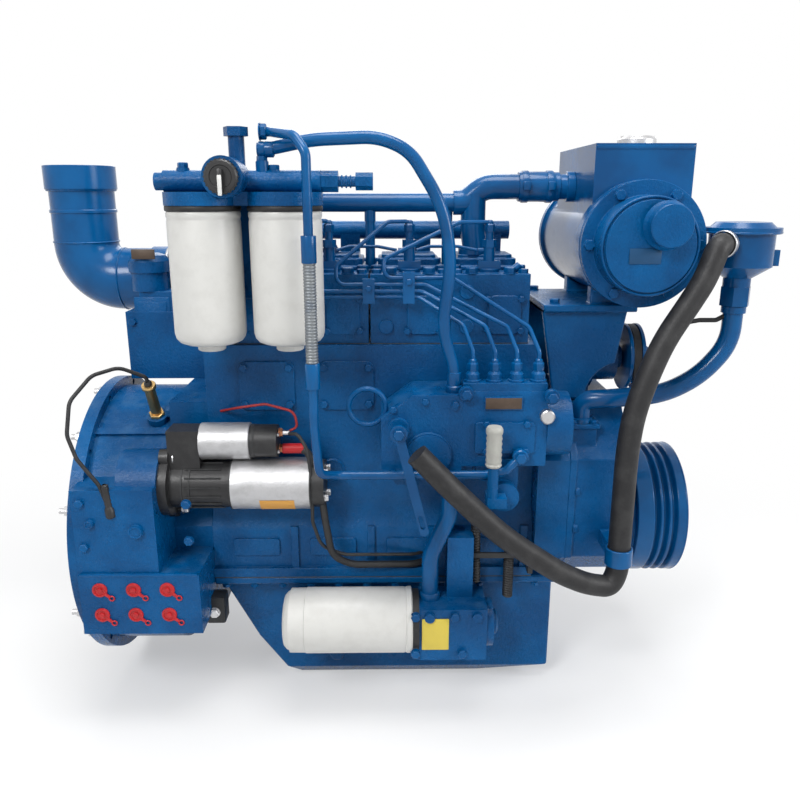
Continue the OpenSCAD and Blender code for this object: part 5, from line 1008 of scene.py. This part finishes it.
CASE_RIB = Vector((0.028, 0.0012, 0.0012))
SOLENOID_SEAM = [(0.0262, 0), (0.0266, 0.001), (0.0266, 0.006), (0.0262, 0.007)]
LABEL_FROM, LABEL_TURN, LABEL_STEPS, LABEL_R = math.radians(200), math.radians(62), 10, 0.0414
LABEL_LOW, LABEL_HIGH = 0.292, 0.346
starter_parts = bmesh.new()
for x, radius in ((0.2445, 0.0415), (0.3690, 0.0415), (0.170, 0.0392), (0.182, 0.0392)):
    turned(starter_parts, [(radius - 0.004, 0), (radius, 0.0005), (radius, 0.0030),
                           (radius - 0.004, 0.0035)], (x, STARTER_Y, STARTER_Z), AHEAD, 56)
for degrees in (35, 215, 125, 305):
    hex_head(starter_parts, round_x((0.3925, STARTER_Y, STARTER_Z), 0.029, math.radians(degrees)),
             AHEAD, 0.011, 0.006, 1)
for k in range(10):
    spot = round_x((0.205, STARTER_Y, STARTER_Z), 0.0388, math.radians(280 - 22 * k))
    block(starter_parts, spot - CASE_RIB, spot + CASE_RIB, 0.0008)
for sign in (-1, 1):
    hex_head(starter_parts, (0.158, STARTER_Y - sign * 0.014, STARTER_Z + sign * 0.048), AHEAD,
             0.018, 0.010, 1)
turned(starter_parts, SOLENOID_SEAM, (0.2785, STARTER_Y, SOLENOID_Z), AHEAD, 48)
for k in range(4):
    hex_head(starter_parts, round_x((CAP_TO, STARTER_Y, SOLENOID_Z), 0.0195,
                                    math.radians(45 + 90 * k)), AHEAD, 0.006, 0.003, 1)
for z in (0.200, 0.174):
    hex_head(starter_parts, (0.3215, STARTER_Y, z), AHEAD, 0.014, 0.006, 2)
for n in range(LABEL_STEPS):
    a, b = (LABEL_FROM + LABEL_TURN * m / LABEL_STEPS for m in (n, n + 1))
    corners = [starter_parts.verts.new(round_x((x, STARTER_Y, STARTER_Z), LABEL_R, angle))
               for x, angle in ((LABEL_LOW, a), (LABEL_HIGH, a), (LABEL_HIGH, b), (LABEL_LOW, b))]
    starter_parts.faces.new(corners).material_index = 3
made("starter_details", starter_parts, (starter_black, bare_steel, copper, label_amber),
     crease=32.0)
wire_black = surface_of("wire_black", (0.012, 0.012, 0.013), (0.03, 0.03, 0.03), 0.5, 0.3, 500.0)
wire_red = surface_of("wire_red", (0.30, 0.012, 0.012), (0.12, 0.01, 0.01), 0.45, 0.3, 500.0)
BATTERY_RUN = [(0.352, STARTER_Y, 0.174), (0.366, -0.180, 0.170), (0.384, -0.196, 0.130),
               (0.392, -0.196, 0.060), (0.400, -0.186, -0.006), (0.430, -0.172, -0.030),
               (0.540, -0.160, -0.036), (0.572, -0.128, -0.036)]
SWITCH_RUN = [(0.338, STARTER_Y - 0.006, 0.200), (0.352, -0.190, 0.203), (0.368, -0.200, 0.180),
              (0.374, -0.205, 0.120), (0.372, -0.200, 0.060), (0.384, -0.190, 0.012),
              (0.420, -0.176, -0.010), (0.540, -0.160, -0.018), (0.572, -0.128, -0.018)]
SENSE_WIRE_RUN = [(0.338, STARTER_Y + 0.004, 0.202), (0.350, -0.172, 0.208),
                  (0.346, -0.168, 0.232), (0.300, -0.162, 0.243), (0.256, -0.158, 0.236),
                  (0.222, -0.128, 0.222)]
for name, run, radius, look, bend, slot, stiffness in (
        ("battery_cable", BATTERY_RUN, 0.0058, wire_black, 0.05, "black_rubber", "stiff"),
        ("switch_wire", SWITCH_RUN, 0.0028, wire_black, 0.04, "black_rubber", "medium"),
        ("sense_wire", SENSE_WIRE_RUN, 0.0020, wire_red, 0.03, "red_plastic", "medium")):
    pipe(name, run, radius, look, bend)

# Oil filter and its cast head on the block, with the wide oil pipe down from the governor. The
# can's closed end is fluted for the strap wrench.
dressed("oil_filter_head", 0.0026)
OIL_Y, OIL_Z, OIL_R = -0.200, -0.115, 0.0525
can_end = Vector((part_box("oil_filter")[0].x, OIL_Y, OIL_Z))
FLUTES, FLUTE_LEN, FLUTE_DEPTH, FLUTE_R = 15, 0.030, 0.0024, 0.0515
FLUTE_SIDES = 6 * FLUTES
CAN_END = [(0, 0), (0.034, 0), (0.041, 0.0015), (0.0460, 0.0060), (0.0480, 0.0110)]
CAN_WALL = [(0.0480, 0.0108), (0.0512, 0.0112), (0.0515, 0.036), (0.0525, 0.037), (OIL_R, 0.196),
            (0.0515, 0.1985), (0.0530, 0.2010), (0.0530, 0.2075), (0.0500, 0.2095), (0, 0.2095)]
CAN_GASKET = [(0.0440, 0.2090), (0.0490, 0.2090), (0.0490, 0.2200), (0.0440, 0.2200)]
oil_can = bmesh.new()
turned(oil_can, CAN_END, can_end, AHEAD, 60)
flute_rings = []
for x in (0.0110, 0.0130, FLUTE_LEN, FLUTE_LEN + 0.006):
    depth = 0.0 if x > FLUTE_LEN else FLUTE_DEPTH
    flute_rings.append([oil_can.verts.new(round_x(
        can_end + Vector((x, 0, 0)), FLUTE_R - depth * (0.5 + 0.5 * math.cos(math.pi * k / 3)),
        2 * math.pi * k / FLUTE_SIDES)) for k in range(FLUTE_SIDES)])
for lower, upper in zip(flute_rings, flute_rings[1:]):
    for k in range(FLUTE_SIDES):
        n = (k + 1) % FLUTE_SIDES
        oil_can.faces.new((lower[k], lower[n], upper[n], upper[k]))
turned(oil_can, CAN_WALL, can_end, AHEAD, 72)
turned(oil_can, CAN_GASKET, can_end, AHEAD, 60, 1)
made("oil_can", oil_can, (can_white, black_rubber), stands_for=("oil_filter",),
     crease=30.0)
oil_low, oil_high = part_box("oil_filter_head")
label_yellow = surface_of("label_yellow", (0.60, 0.47, 0.06), (0.45, 0.35, 0.06), 0.40, 0.2, 160.0)
HEAD_PLUG = [(0, 0), (0.020, 0), (0.020, 0.008), (0.017, 0.011), (0, 0.011)]
oil_parts = bmesh.new()
block(oil_parts, (0.545, oil_low.y + 0.0038, -0.1450), (0.588, oil_low.y + 0.0056, -0.0900),
      0.0006, 1)
for x, z in ((0.535, -0.086), (0.597, -0.086), (0.535, -0.152), (0.610, -0.152)):
    hex_head(oil_parts, (x, oil_low.y + 0.006, z), NEAR, 0.015, 0.007)
turned(oil_parts, HEAD_PLUG, (oil_high.x - 0.002, OIL_Y, -0.120), AHEAD, 36)
made("oil_head_details", oil_parts, (blue_casting, label_yellow))
OIL_PIPE_R = 0.0135
oil_pipe_top = (pump_low.x - 0.014, -0.190, 0.130)
oil_pipe_foot = (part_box("oil_pipe")[0].x + 0.0165, OIL_Y, -0.075)
pipe("oil_feed", [oil_pipe_top, (*oil_pipe_top[:2], 0.065), (*oil_pipe_foot[:2], 0.0),
                  oil_pipe_foot], OIL_PIPE_R, blue_sheet, 4 * OIL_PIPE_R, stands_for=("oil_pipe",),
     sides=9)
OIL_PIPE_NUT = [(OIL_PIPE_R, 0), (0.0165, 0), (0.0165, 0.009), (0.0150, 0.012),
                (OIL_PIPE_R, 0.012)]
oil_ends = bmesh.new()
turned(oil_ends, OIL_PIPE_NUT, oil_pipe_top, DOWN, 36)
turned(oil_ends, OIL_PIPE_NUT, oil_pipe_foot, UP, 36)
made("oil_feed_ends", oil_ends, (blue_sheet,))

# Small lines beside the sump: a ribbed drain hose, a spiral-wrapped hose and the black bracket
# that holds them, and the black earth block under the starter.
LINES_Y, RIB_PITCH, RIBS, WRAP_PITCH, WRAPS = -0.176, 0.0050, 22, 0.0042, 26
ribbed = bmesh.new()
turned(ribbed, [(radius, -RIB_PITCH * k - down) for k in range(RIBS)
                for radius, down in ((0.0064, 0), (0.0080, 0.0018), (0.0080, 0.0032))],
       (0.634, LINES_Y, 0.050), (-0.02, 0, 1), 20)
made("ribbed_hose", ribbed, (black_plastic,))
wrapped = bmesh.new()
for k in range(WRAPS):
    ring(wrapped, (0.690, LINES_Y, 0.020 - WRAP_PITCH * k), (0.10, 0, 1), 0.0066, 0.0022, 0, 16, 6)
made("wrapped_hose", wrapped, (wire_black,))
small_parts = bmesh.new()
for low, high, soft in (((0.722, -0.176, -0.048), (0.731, -0.158, -0.014), 0.002),
                        ((0.626, -0.190, -0.012), (0.731, -0.184, -0.002), 0.002),
                        ((0.626, -0.188, -0.012), (0.640, -0.158, -0.002), 0.002),
                        ((0.190, -0.190, -0.128), (0.222, -0.158, -0.080), 0.004)):
    block(small_parts, low, high, soft)
hex_head(small_parts, (0.205, -0.190, -0.106), NEAR, 0.016, 0.007, 1)
made("line_bracket", small_parts, (starter_black, bare_steel))

# Speed sensor: brass body screwed in the bell's boss, with hexagon, collar and a black lead that
# loops down to the side of the housing.
dressed("speed_sensor", 0.0006)
brass = surface_of("sensor_brass", (0.60, 0.40, 0.17), (0.32, 0.21, 0.09), 0.26, Metallic=1.0)
LEAN, SENSOR_X, BOSS_R, LEAD_R = math.radians(28), 0.114, 0.240, 0.0030
SENSOR_BODY = [(0, 0), (0.0075, 0), (0.0075, 0.006), (0.0085, 0.0065), (0.0085, 0.058),
               (0.0108, 0.059), (0.0112, 0.060), (0.0112, 0.0650), (0.0105, 0.0660),
               (0.0060, 0.0660), (0, 0.0655)]
SENSOR_HEXAGON = [(0.0085, 0.0), (0.0122, 0.0), (0.0128, 0.001), (0.0128, 0.005), (0.0118, 0.006),
                  (0.0085, 0.006)]
LEAD_COLLAR = [(0.0062, 0.064), (0.0062, 0.070), (0.0045, 0.073), (0, 0.073)]
sensor_axis = Vector((0, -math.sin(LEAN), math.cos(LEAN)))
sensor_foot = Vector((SENSOR_X, 0, 0)) + sensor_axis * BOSS_R
sensor = bmesh.new()
turned(sensor, SENSOR_BODY, sensor_foot, sensor_axis, 36)
turned(sensor, SENSOR_HEXAGON, sensor_foot, sensor_axis, 6)
turned(sensor, LEAD_COLLAR, sensor_foot, sensor_axis, 24, 1)
made("sensor_body", sensor, (brass, black_plastic),
     stands_for=("speed_sensor",))
lead_start = sensor_foot + sensor_axis * 0.070
LEAD_RUN = [lead_start, lead_start + sensor_axis * 0.012, (0.078, -0.165, 0.303),
            (0.045, -0.190, 0.296), (0.018, -0.215, 0.262), (0.016, -0.232, 0.215),
            (0.030, -0.240, 0.180), (0.060, -0.243, 0.140), (0.072, -0.244, 0.100)]
sensor_lead = pipe("sensor_lead", LEAD_RUN, LEAD_R, black_rubber, 0.03)
plug_grips = [(0.0058 if k % 2 else 0.0050, -0.026 + 0.003 * k) for k in range(12)]
lead_end = bmesh.new()
turned(lead_end, [(LEAD_R, -0.03), (0.0058, -0.028)] + plug_grips
       + [(0.0075, 0.010), (0.0075, 0.022), (0.0060, 0.024), (0, 0.024)], (0.071, -0.244, 0.112),
       (0.1, 0, -1), 20)
sensor_plug = made("sensor_plug", lead_end, (black_plastic,))

# Running gear that shows at the ends: forged crankshaft, machined flywheel with its bolts and
# ring gear, and the dipstick in its tube.
rough_iron = surface_of("rough_iron", (0.16, 0.15, 0.145), (0.20, 0.10, 0.05), 0.55, 0.5, 180.0,
                        0.0008, Metallic=0.6)
BOLTS_WITHIN, BOLTS_BEHIND = 0.060, 0.0515
dressed("crankshaft", 0.0010, (bare_steel,))
dressed("flywheel", 0.0012, (rough_iron, bare_steel), lambda centre: int(
    math.hypot(centre.y, centre.z) < BOLTS_WITHIN and centre.x < BOLTS_BEHIND))
dressed("ring_gear", 0.0003, (bare_steel,))
dressed("dipstick", 0.0003, (bare_steel,))
